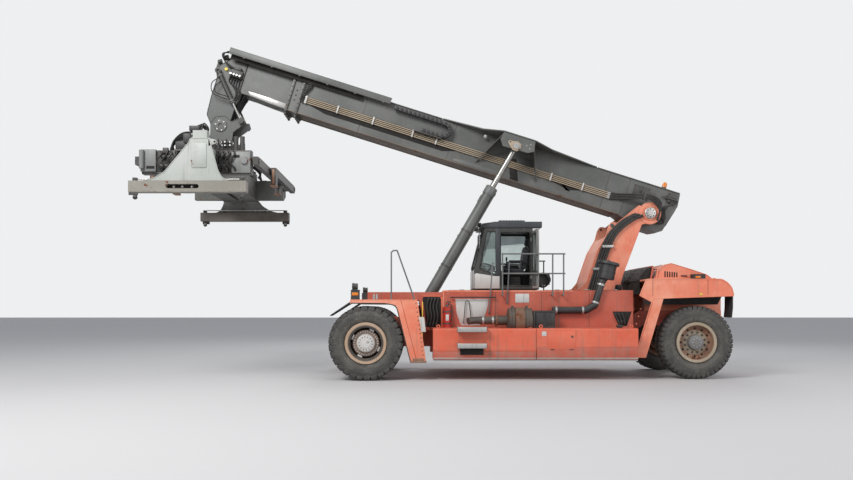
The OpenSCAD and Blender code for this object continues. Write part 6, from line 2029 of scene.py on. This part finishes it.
@dataclass
class InnerBoom(Assembly):
    """The inner boom and its head: tray, lamps, valves, hoses, wear stripes and the head pin's bolts."""

    body: str = "inner_boom"
    frame: Matrix = field(default_factory=boom_frame)

    def tray(self) -> None:
        """Adds the tray's pale outer cover, its stays and the bundle of hoses lying in it."""
        # painted shadow: a near-black strip under the tray's cover, where the tray shades the boom
        self.blocks("tray_shadow", "engine_gloom", [((-10.74, -0.447, 0.55), (-7.4, -0.439, 0.66))], 0.002)
        stays = [((-x - 0.02, -0.561, 0.62), (-x + 0.02, -0.549, 0.77))
                 for x in (6.9, 7.6, 8.3, 9.0, 9.7, 10.4)]
        self.blocks("tray_stays", "grey_paint", stays, 0.004)
        cover = [((-10.78, -0.563, 0.64), (-6.72, -0.556, 0.785)),
                 ((-10.78, -0.563, 0.775), (-6.72, -0.43, 0.785))]
        self.blocks("tray_cover", "boom_paint", cover, 0.003)
        hoses = [SHOP.pipe("hose", [(-10.8, y, 0.69), (-9.5, y, 0.685), (-8.0, y, 0.69), (-6.7, y, 0.685)],
                           0.013, 0.2) for _, y in evenly(3, -0.51, 0.03)]
        self.add(SHOP.joined("tray_hoses", hoses), "black_rubber")

    def sides(self) -> None:
        """Adds the worn stripes, the neck's edge bar, its stiffening bar and steps, and the head pin's bolts.
        """
        stripe = [(-10.114, -0.05), (-9.6, -0.045), (-9.13, -0.066), (-9.13, -0.19), (-9.55, -0.175),
                  (-10.05, -0.14)]
        self.pair(SHOP.slab("worn_stripe", stripe, -0.3135, -0.311, 0.001), "bare_metal")
        rim = [(-10.78, -0.292, 0.555), (-10.985, -0.292, 0.33), (-11.005, -0.292, 0.16),
               (-10.95, -0.292, 0.06), (-10.95, -0.292, -0.43), (-10.92, -0.292, -0.885),
               (-10.7, -0.292, -1.145), (-10.4, -0.292, -1.145), (-10.333, -0.292, -0.916),
               (-10.324, -0.292, -0.563), (-10.3, -0.292, -0.22)]
        self.pair(SHOP.pipe("neck_rim", rim, 0.01, 0.04), "boom_paint")
        self.bolt_ring("head_pin_bolts", "bare_metal", (-10.507, -0.3, -1.051), TO_LEFT, 0.15, 8, 0.013, 0.01,
                       True)
        stiff = [((-10.36, -0.318, -0.15), (-10.32, -0.27, 0.55))]
        self.blocks("neck_bar", "boom_dark", stiff, 0.005, True)
        front = [((-11.0, -0.2, -0.3), (-10.955, 0.2, -0.27)), ((-10.975, -0.2, -0.75), (-10.93, 0.2, -0.72))]
        self.blocks("neck_steps", "dark_steel", front, 0.004)

    def lamps(self) -> None:
        """Adds the head's lamps, the yellow plug and the lamp brackets."""
        for i, (along, y, n) in enumerate(((11.02, -0.17, 0.48), (10.86, -0.3, 0.6))):
            ring = [(0, 0), (0.06, 0), (0.066, 0.01), (0.066, 0.09), (0.05, 0.11), (0, 0.11)]
            self.pair(SHOP.turned(f"head_work_lamp_{i}", ring, 32, (-along + 0.04, y, n), (-0.85, 0, -0.5)),
                      "black_plastic")
            lens = [(0, 0.108), (0.05, 0.108), (0.045, 0.118), (0, 0.122)]
            self.pair(SHOP.turned(f"head_work_lens_{i}", lens, 32, (-along + 0.04, y, n), (-0.85, 0, -0.5)),
                      "lamp_glass")
        self.pair(SHOP.turned("boom_lamp_lens", [(0, 0), (0.062, 0), (0.062, 0.006), (0.03, 0.012),
                                                 (0, 0.013)], 32, (-11.058, -0.17, 0.32), AHEAD),
                  "lamp_glass")
        self.blocks("lamp_bar", "boom_dark", [((-11.04, -0.36, 0.4), (-10.98, 0.36, 0.43)),
                                              ((-11.0, -0.02, 0.16), (-10.94, 0.02, 0.42))], 0.005)
        self.add(SHOP.turned("yellow_plug", [(0, 0), (0.042, 0), (0.042, 0.02), (0.03, 0.03), (0, 0.03)], 28,
                             (-10.795, -0.3, 0.304), TO_LEFT), "yellow_plastic")

    def valves(self) -> None:
        """Adds the valve block on the left of the head with its coils, and the hoses round it."""
        self.blocks("head_valve", "dark_steel", [((-10.66, -0.385, 0.16), (-10.36, -0.292, 0.34)),
                                                 ((-10.6, -0.4, 0.34), (-10.42, -0.3, 0.42))], 0.008)
        coils = [SHOP.rod("coil", (-10.62 + 0.075 * i, -0.385, 0.21), (-10.62 + 0.075 * i, -0.47, 0.21),
                          0.027, 20) for i in range(4)]
        self.add(SHOP.joined("valve_coils", coils), "bare_metal")
        runs = [[(x, -0.32, 0.16), (x + 0.02, -0.308, 0.02 - 0.03 * i),
                 (-10.3 - 0.02 * i, -0.308, -0.12 - 0.05 * i), (-10.28 - 0.012 * i, -0.25, -0.4),
                 (-10.27 - 0.014 * i, -0.1 + 0.05 * i, -0.75)] for i, x in evenly(5, -10.64, 0.06)]
        self.hose_set("neck_hose", 0.015, runs)
        runs = [[(-10.78, -0.52 + 0.03 * i, 0.69), (-10.9 - 0.02 * i, -0.47 + 0.02 * i, 0.62),
                 (-10.88, -0.4 + 0.02 * i, 0.48), (-10.7 + 0.04 * i, -0.36, 0.36)] for i in range(4)]
        self.hose_set("tray_hose", 0.014, runs)
        runs = [[(-10.2, y, -0.16), (-10.25, y, -0.34), (-10.3, y * 0.9, -0.62), (-10.3, y * 0.8, -0.84)]
                for _, y in evenly(6, -0.2, 0.08)]
        self.hose_set("under_hose", 0.016, runs)

    def build(self) -> None:
        """Builds the inner boom's details."""
        self.tray()
        self.sides()
        self.lamps()
        self.valves()


@dataclass
class Cylinders(Assembly):
    """The lift cylinders' glands, bands, pipes and caps, and the damping cylinders' hoses and rings."""

    low: Pair = (1.203, 1.525)
    top: Pair = (3.4689, 5.4053)
    y: float = 0.86

    def along(self, side: float) -> Matrix:
        """A frame at a lift cylinder's lower pin, with Z up the cylinder and Y outwards."""
        lean = math.atan2(self.top[0] - self.low[0], self.top[1] - self.low[1])
        place = Matrix.Translation((AXLE_X + self.low[0], side * self.y, self.low[1]))
        return place @ Matrix.Rotation(lean, 4, "Y") @ Matrix.Scale(side, 4, OUTWARD)

    def barrel(self, side: float, word: str) -> None:
        """Builds one lift barrel's fittings.

        Args:
            side: LEFT or RIGHT.
            word: the side's name.
        """
        part = Assembly("lift_barrel_" + word, self.along(side))
        gland = [(0.072, 3.2), (0.145, 3.2), (0.145, 3.385), (0.136, 3.4), (0.1, 3.412), (0.072, 3.412)]
        part.add(SHOP.turned("lift_gland_" + word, gland, 56, bevel=0.003), "grey_paint")
        part.bolt_ring("gland_bolts_" + word, "bare_metal", (0, 0, 3.402), UP, 0.118, 12, 0.012, 0.012)
        bands = SHOP.turned_at("barrel_bands_" + word, hoop(0.13, 0.139, -0.02, 0.02), 48,
                               [((0, 0, z), UP) for z in (0.3, 1.25, 2.2)])
        part.add(bands, "dark_steel")
        line = [(0.105, 0.06, 3.28), (0.134, 0.076, 3.24), (0.134, 0.076, 0.4), (0.125, 0.07, 0.2)]
        tube = [SHOP.pipe("line", line, 0.016, 0.05),
                SHOP.block("port", (0.09, 0.04, 3.235), (0.158, 0.1, 3.31), 0.006)]
        tube += [SHOP.block("clip", (0.105, 0.05, z), (0.158, 0.1, z + 0.04), 0.004) for z in (2.17, 1.22)]
        part.add(SHOP.joined("barrel_pipe_" + word, tube), "boom_dark")
        part.add(SHOP.hose("barrel_hose_" + word, [(0.125, 0.07, 0.24), (0.1, 0.12, 0.12),
                                                   (-0.02, 0.16, 0.02), (-0.14, 0.14, -0.08)], 0.018),
                 "black_rubber")

    def build(self) -> None:
        """Builds the cylinders' fittings."""
        for side, word in ((LEFT, "left"), (RIGHT, "right")):
            self.barrel(side, word)
        pin = Assembly()
        pin.pair(SHOP.turned("lift_pin_cap", [(0, 0), (0.082, 0), (0.088, 0.005), (0.082, 0.016),
                                              (0.03, 0.018), (0, 0.018)], 40, (1.203, -1.046, 1.525),
                             TO_LEFT), "dark_steel")
        pin.bolt_ring("lift_pin_bolts", "bare_metal", (1.203, -1.062, 1.525), TO_LEFT, 0.055, 4, 0.011, 0.01,
                      True, start=0.6)
        damper = Assembly("damper_barrels")
        loops = (((-3.6, -0.44, 7.2), (-3.8, -0.46, 7.05), (-3.77, -0.46, 6.8), (-3.43, -0.45, 6.66)),
                 ((-3.58, -0.43, 7.1), (-3.72, -0.45, 6.98), (-3.7, -0.45, 6.82), (-3.4, -0.44, 6.72)))
        damper.hose_set("damper_hose", 0.011, loops, True)
        start, end = Vector((-3.667, -0.39, 7.365)), Vector((-3.1107, -0.39, 6.142))
        way = (end - start).normalized()
        rings = [SHOP.turned("ring", hoop(0.058, 0.066, -0.02, 0.02), 36, tuple(start + way * d), tuple(way))
                 for d in (0.13, 0.8)]
        rings.append(SHOP.turned("gland", [(0.032, -0.01), (0.062, -0.01), (0.062, 0.012), (0.05, 0.022),
                                           (0.032, 0.022)], 36, tuple(start + way * 0.85), tuple(way)))
        damper.pair(SHOP.joined("damper_rings", rings), "grey_paint")


@dataclass
class Head(Assembly):
    """Yoke and turntable: lever bosses, ring bolts, slewing motors, valve blocks and hoses."""

    def build(self) -> None:
        """Builds the yoke's and the turntable's details."""
        place = Matrix.Translation(HEAD)
        yoke = Assembly("yoke", place)
        boss = [(0.056, 0), (0.15, 0), (0.158, 0.006), (0.15, 0.02), (0.09, 0.024), (0.056, 0.024)]
        yoke.pair(SHOP.turned("yoke_boss", boss, 48, (0, -0.34, 0), TO_LEFT), "boom_paint")
        yoke.bolt_ring("yoke_boss_bolts", "bare_metal", (0, -0.364, 0), TO_LEFT, 0.12, 6, 0.014, 0.012, True)
        rim = [(-0.25, 0.04), (-0.12, 0.225), (0.12, 0.225), (0.26, 0.088), (0.48, 0.185), (0.565, 0.185)]
        yoke.pair(SHOP.pipe("yoke_rim", [(x, -0.341, z) for x, z in rim], 0.01, 0.04), "boom_paint")
        yoke.pair(SHOP.turned("lever_boss", [(0, 0), (0.07, 0), (0.074, 0.01), (0.07, 0.02), (0, 0.022)], 36,
                              (0.508, -0.425, 0.097), TO_LEFT), "dark_steel")
        yoke.bolt_ring("ring_bolts", "bare_metal", (0, 0, -0.44), UP, 0.44, 28, 0.016, 0.018)
        reach = ((0.16, 0.2, -0.05), (0.34, 0.3, -0.2), (0.37, 0.33, -0.34), (0.3, 0.28, -0.425))
        runs = [[(x * math.cos(a), y * math.sin(a), z) for x, y, z in reach]
                for a in (math.radians(205 + 26 * i) for i in range(6))]
        yoke.hose_set("yoke_hose", 0.015, runs)
        turn = Assembly("rotator", place)
        motor = [(0, 0), (0.085, 0), (0.09, 0.01), (0.09, 0.16), (0.07, 0.18), (0.07, 0.34), (0.05, 0.36),
                 (0.05, 0.42), (0, 0.42)]
        for i, (x, y) in enumerate(((-0.34, -0.58), (0.34, 0.58))):
            turn.add(SHOP.turned(f"slew_motor_{i}", motor, 36, (x, y, -0.6), bevel=0.003), "dark_steel")
        turn.bolt_ring("table_bolts", "bare_metal", (0, 0, -0.4905), UP, 0.505, 36, 0.011, 0.01)
        turn.blocks("turn_valves", "dark_steel", [((0.1, -0.64, -0.6), (0.34, -0.54, -0.42)),
                                                  ((-0.3, 0.53, -0.6), (-0.05, 0.64, -0.44))], 0.01)
        coils = [SHOP.rod("coil", (x, -0.64, z), (x, -0.72, z), 0.022, 18) for z in (-0.47, -0.55)
                 for _, x in evenly(4, 0.13, 0.06)]
        turn.add(SHOP.joined("turn_coils", coils), "bare_metal")
        runs = [[(x, -0.56, -0.5), (x + 0.03, -0.7 - 0.02 * (i % 3), -0.44 + 0.03 * (i % 2)),
                 (x + 0.06, -0.74, -0.62), (x + 0.02, -0.66, -0.78), (x, -0.6, -0.84)]
                for i, x in evenly(7, -0.3, 0.1)]
        turn.hose_set("turn_hose", 0.016, runs)
        turn.hose_set("turn_hose_far", 0.016, [[(-x, -y, z) for x, y, z in run] for run in runs])


@dataclass
class Spreader(Assembly):
    """The spreader: frame fittings, the beams' gables, twist locks, cylinders, hoses and leg shoes."""

    body: str = "spreader"
    frame: Matrix = field(default_factory=lambda: Matrix.Translation((SPREAD_X, 0.0, 0.0)))

    def fittings(self, i: int, turn: Matrix) -> None:
        """Adds the cylinder, valves, hoses, leg boxes and pods of one half of the frame.

        Args:
            i: the half's number.
            turn: half a turn for the second half.
        """
        half = Assembly(self.body, self.frame @ turn)
        tube = [(0, 0), (0.05, 0), (0.055, 0.01), (0.055, 1.45), (0.062, 1.46), (0.062, 1.54), (0.03, 1.56),
                (0.03, 1.98), (0, 1.98)]
        half.add(SHOP.turned(f"spread_cylinder_{i}", tube, 32, (0.0, -0.1, 5.115), TO_LEFT, 0.002),
                 "dark_steel")
        valves = [((-0.46, y, 5.08), (-0.1, y + 0.12, 5.27 + 0.05 * (k % 2)))
                  for k, y in evenly(5, -2.3, 0.16)]
        half.blocks(f"frame_valves_{i}", "black_plastic", valves, 0.01)
        runs = [[(0.12, y, 5.09), (0.2, y - 0.04, 5.26), (-0.02, y - 0.06, 5.44 + 0.03 * (k % 3)),
                 (-0.3, y - 0.02, 5.46), (-0.52 - 0.03 * k, y + 0.04, 5.3), (-0.6, y + 0.06, 5.08)]
                for k, y in evenly(6, -2.24, 0.1)]
        half.hose_set(f"frame_hose_{i}", 0.018, runs)
        lid = [((s * 0.83 - 0.36, -2.286, z), (s * 0.83 + 0.37, -2.278, z + 0.03)) for s in (-1, 1)
               for z in (4.57, 5.03)]
        lid += [((s * 0.83 - 0.36, -2.286, 4.57), (s * 0.83 - 0.33, -2.278, 5.06)) for s in (-1, 1)]
        half.blocks(f"leg_box_{i}", "grey_paint", lid, 0.003)
        spots = [((s * 1.02, -2.2785, 4.85), TO_LEFT) for s in (-1, 1)]
        half.add(SHOP.turned_at(f"leg_pocket_{i}", hoop(0.055, 0.085, 0, 0.012), 36, spots), "dark_steel")
        clutter = [SHOP.block("gloom", (s * 0.655 - 0.2, -2.296, 4.6), (s * 0.655 + 0.2, -2.286, 5.06), 0.003)
                   for s in (-1, 1)]
        clutter += [SHOP.rod("tank", (x, -2.16, 5.076), (x, -2.16, 5.4), 0.052, 24) for x in (0.84, 0.98)]
        motors = ((-0.8, 4.72), (-0.76, 4.92), (0.5, 4.72), (0.52, 4.94))
        clutter += [SHOP.rod("motor", (x, -2.34, z), (x + 0.2, -2.34, z), 0.045, 20) for x, z in motors]
        valves = ((-0.6, 4.8), (-0.56, 4.62), (0.7, 4.8), (-0.72, 5.0), (0.58, 4.6))
        clutter += [SHOP.block("valve", (x, -2.37, z), (x + 0.12, -2.296, z + 0.12), 0.01) for x, z in valves]
        half.add(SHOP.joined(f"frame_clutter_{i}", clutter), "dark_steel")
        for tag, start in (("near", -0.78), ("rear", 0.48)):
            runs = [[(x, -2.3, 5.05), (x + 0.05, -2.4, 4.98), (x - 0.05, -2.42, 4.8), (x + 0.06, -2.4, 4.66),
                     (x + 0.02, -2.3, 4.6)] for _, x in evenly(4, start, 0.11)]
            half.hose_set(f"side_hose_{tag}_{i}", 0.016, runs)
        pods = [SHOP.block("pod", (-1.21, -2.355, 4.6), (-0.87, -2.284, 5.085), 0.012),
                SHOP.rod("pod_tube", (-1.17, -2.39, 4.66), (-1.17, -2.39, 5.06), 0.055, 28),
                SHOP.block("pod", (0.78, -2.355, 4.57), (1.19, -2.284, 5.03), 0.012),
                SHOP.rod("pod_tube", (1.06, -2.36, 4.84), (1.06, -2.4, 4.84), 0.08, 32)]
        half.add(SHOP.joined(f"frame_pods_{i}", pods), "pod_shade_paint")
        # painted shade: near-black strips stand for the shade in the pods' slots
        slots = [((0.82, -2.36, 4.9), (0.96, -2.35, 4.96)), ((-1.08, -2.36, 4.66), (-0.9, -2.35, 4.72))]
        half.blocks(f"pod_slots_{i}", "engine_gloom", slots, 0.003)
        lamp = [(0, 0), (0.055, 0), (0.06, 0.01), (0.06, 0.08), (0, 0.09)]
        spots = [((s * 0.62, -2.28, 4.72), (0, -0.5, -1)) for s in (-1, 1)]
        half.add(SHOP.turned_at(f"frame_lamp_{i}", lamp, 28, spots), "black_plastic")

    def sleeves(self) -> None:
        """Adds the sleeves' collars and the pads' bolts."""
        collars = []
        for y in (-2.345, 2.315):
            for x in (-0.262, 0.262):
                for x0, x1, z0, z1 in ((-0.222, 0.222, 4.541, 4.556), (-0.222, 0.222, 5.074, 5.089),
                                       (-0.222, -0.207, 4.541, 5.089), (0.207, 0.222, 4.541, 5.089)):
                    collars.append(((x + x0, y, z0), (x + x1, y + 0.03, z1)))
        self.blocks("sleeve_collars", "sleeve_paint", collars, 0.003)
        spots = [((x, s * (1.9 - 0.5 * k), 5.0755), UP) for x in (-0.42, -0.1, 0.1, 0.42) for s in (-1, 1)
                 for k in range(3)]
        self.add(SHOP.bolts("sleeve_bolts", spots, 0.014, 0.01), "bare_metal")

    def beam(self, word: str, turn: Matrix) -> None:
        """Builds one telescopic beam's gable panel, worn end beam, locks and fittings.

        Args:
            word: the side's name.
            turn: half a turn for the right side.
        """
        part = Assembly("beam_" + word, self.frame @ turn)
        # the far beam gets the darker copy, painted shade
        look = "spreader_paint" if word == "left" else "far_gable_paint"
        out = -3.0465
        panel = [(0.08, 4.59), (0.1, 4.57), (0.385, 4.57), (0.405, 4.59), (0.405, 5.07), (0.385, 5.09),
                 (0.1, 5.09), (0.08, 5.07)]
        part.add(SHOP.slab("gable_panel_" + word, panel, -3.03, -3.016, 0.004), look)
        edge = [(-0.92, 4.3), (-0.7, 4.355), (-0.48, 4.485), (0.03, 5.1), (0.062, 5.19), (0.462, 5.19),
                (0.48, 5.1), (0.64, 4.515), (0.72, 4.365), (0.86, 4.3)]
        part.add(SHOP.pipe("gable_rim_" + word, [(x, -3.014, z) for x, z in edge], 0.012, 0.05), look)
        lug = [(0.44, 5.02), (0.44, 5.19), (0.52, 5.18), (0.6, 5.155), (0.625, 5.118), (0.6, 5.08),
               (0.54, 5.06)]
        part.add(SHOP.slab("gable_lug_" + word, lug, -3.0165, -2.9865, 0.004), look)
        # painted shade: a near-black disc stands for the shade in the lug's hole
        part.add(SHOP.turned("lug_hole_" + word, puck(0.022, 0.032), 24, (0.572, -3.0175, 5.118), OUTWARD),
                 "engine_gloom")
        # painted shade: a near-black strip stands for the shade in the end beam's slot
        part.blocks("slot_shade_" + word, "engine_gloom",
                    [((-0.4, out + 0.098, 4.134), (0.2, out + 0.102, 4.222))], 0.001)
        part.add(SHOP.bolts("slot_bolts_" + word, [((x, out + 0.098, 4.178), TO_LEFT)
                                                   for x in (-0.3, -0.12, 0.08)], 0.022, 0.03), "bare_metal")
        for x in (-1.1295, 1.1295):
            tag = f"{word}_{'front' if x < 0 else 'rear'}"
            lock = [(0, 0), (0.018, 0), (0.046, 0.018), (0.052, 0.05), (0.034, 0.075), (0.03, 0.12),
                    (0.055, 0.125), (0.055, 0.145), (0, 0.145)]
            part.add(SHOP.turned("lock_head_" + tag, lock, 28, (x, -2.9265, 3.913)), "dark_steel")
            guard = [SHOP.block("guard", (x - 0.1, out + 0.004, 3.99), (x + 0.1, out + 0.018, 4.07), 0.004),
                     SHOP.rod("housing", (x, -2.9265, 4.295), (x, -2.9265, 4.37), 0.055, 28),
                     SHOP.block("arm", (x - 0.02, -2.93, 4.345), (x + 0.02, -2.82, 4.365), 0.004)]
            part.add(SHOP.joined("lock_guard_" + tag, guard), "dark_steel")
        rod = SHOP.rod("lock_link_" + word, (-1.1, -2.82, 4.355), (1.1, -2.82, 4.355), 0.014, 16)
        part.add(rod, "bare_metal")
        ribs = [((x - 0.008, -2.985, 4.296), (x + 0.008, -2.84, 4.4)) for x in (-0.62, -0.3, 0.62)]
        part.blocks("gable_ribs_" + word, look, ribs, 0.003)
        runs = [[(0.12 + 0.05 * k, -2.93, 5.36), (0.16 + 0.05 * k, -2.88, 5.47 + 0.02 * k),
                 (0.3 + 0.03 * k, -2.8, 5.44), (0.36, -2.76, 5.3), (0.34, -2.74, 5.19)] for k in range(4)]
        part.hose_set("gable_hose_" + word, 0.016, runs)
        part.blocks("gable_box_" + word, "black_plastic",
                    [((0.02, -2.96, 5.36), (0.24, -2.8, 5.47)), ((-0.1, -2.98, 5.1), (0.05, -2.82, 5.3))],
                    0.012)

    def legs(self, word: str, side: float, x: float) -> None:
        """Builds the shoes and the edge bars of one pair of folded legs.

        Args:
            word: the side's name.
            side: LEFT or RIGHT.
            x: the legs' distance from the middle.
        """
        part = Assembly("legs_" + word, self.frame @ Matrix.Scale(side * -1.0, 4, OUTWARD))
        pieces = []
        for s in (-1, 1):
            pieces += [SHOP.block("shoe", (s * x - 0.075, 0.56, 4.505), (s * x + 0.075, 0.835, 4.535), 0.008),
                       SHOP.block("edge", (s * x - 0.064, -2.1, 4.935), (s * x + 0.064, 0.8, 4.944), 0.003),
                       SHOP.block("pad", (s * x - 0.03, 0.815, 4.56), (s * x + 0.03, 0.835, 4.9), 0.006)]
        part.add(SHOP.joined("leg_shoes_" + word, pieces), "rusty_paint")
        cap = [(0, 0), (0.062, 0), (0.066, 0.005), (0.062, 0.014), (0, 0.016)]
        spots = [((s * (x + 0.062), -2.18, 4.85), (s, 0, 0)) for s in (-1, 1)]
        part.add(SHOP.turned_at("leg_caps_" + word, cap, 32, spots), "grey_paint")

    def build(self) -> None:
        """Builds the spreader's details."""
        for i, turn in enumerate((STILL, HALF_TURN)):
            self.fittings(i, turn)
        self.sleeves()
        self.beam("left", STILL)
        self.beam("right", HALF_TURN)
        self.legs("left", LEFT, 1.29)
        self.legs("right", RIGHT, 1.43)


def main() -> None:
    """Sets the stage and builds each sub-assembly in order."""
    Stage().build()
    dress_solids()
    SHOP.open()
    for part in (Wheels(), FrontFenders(), SideTanks(), BodySides(), Steps(), Silencer(), Intake(), Deck(),
                 Tower(), Rear(), Underbody(), Cab(), Boom(), InnerBoom(), Cylinders(), Head(), Spreader()):
        part.build()
    SHOP.close()


if __name__ == "__main__":
    main()
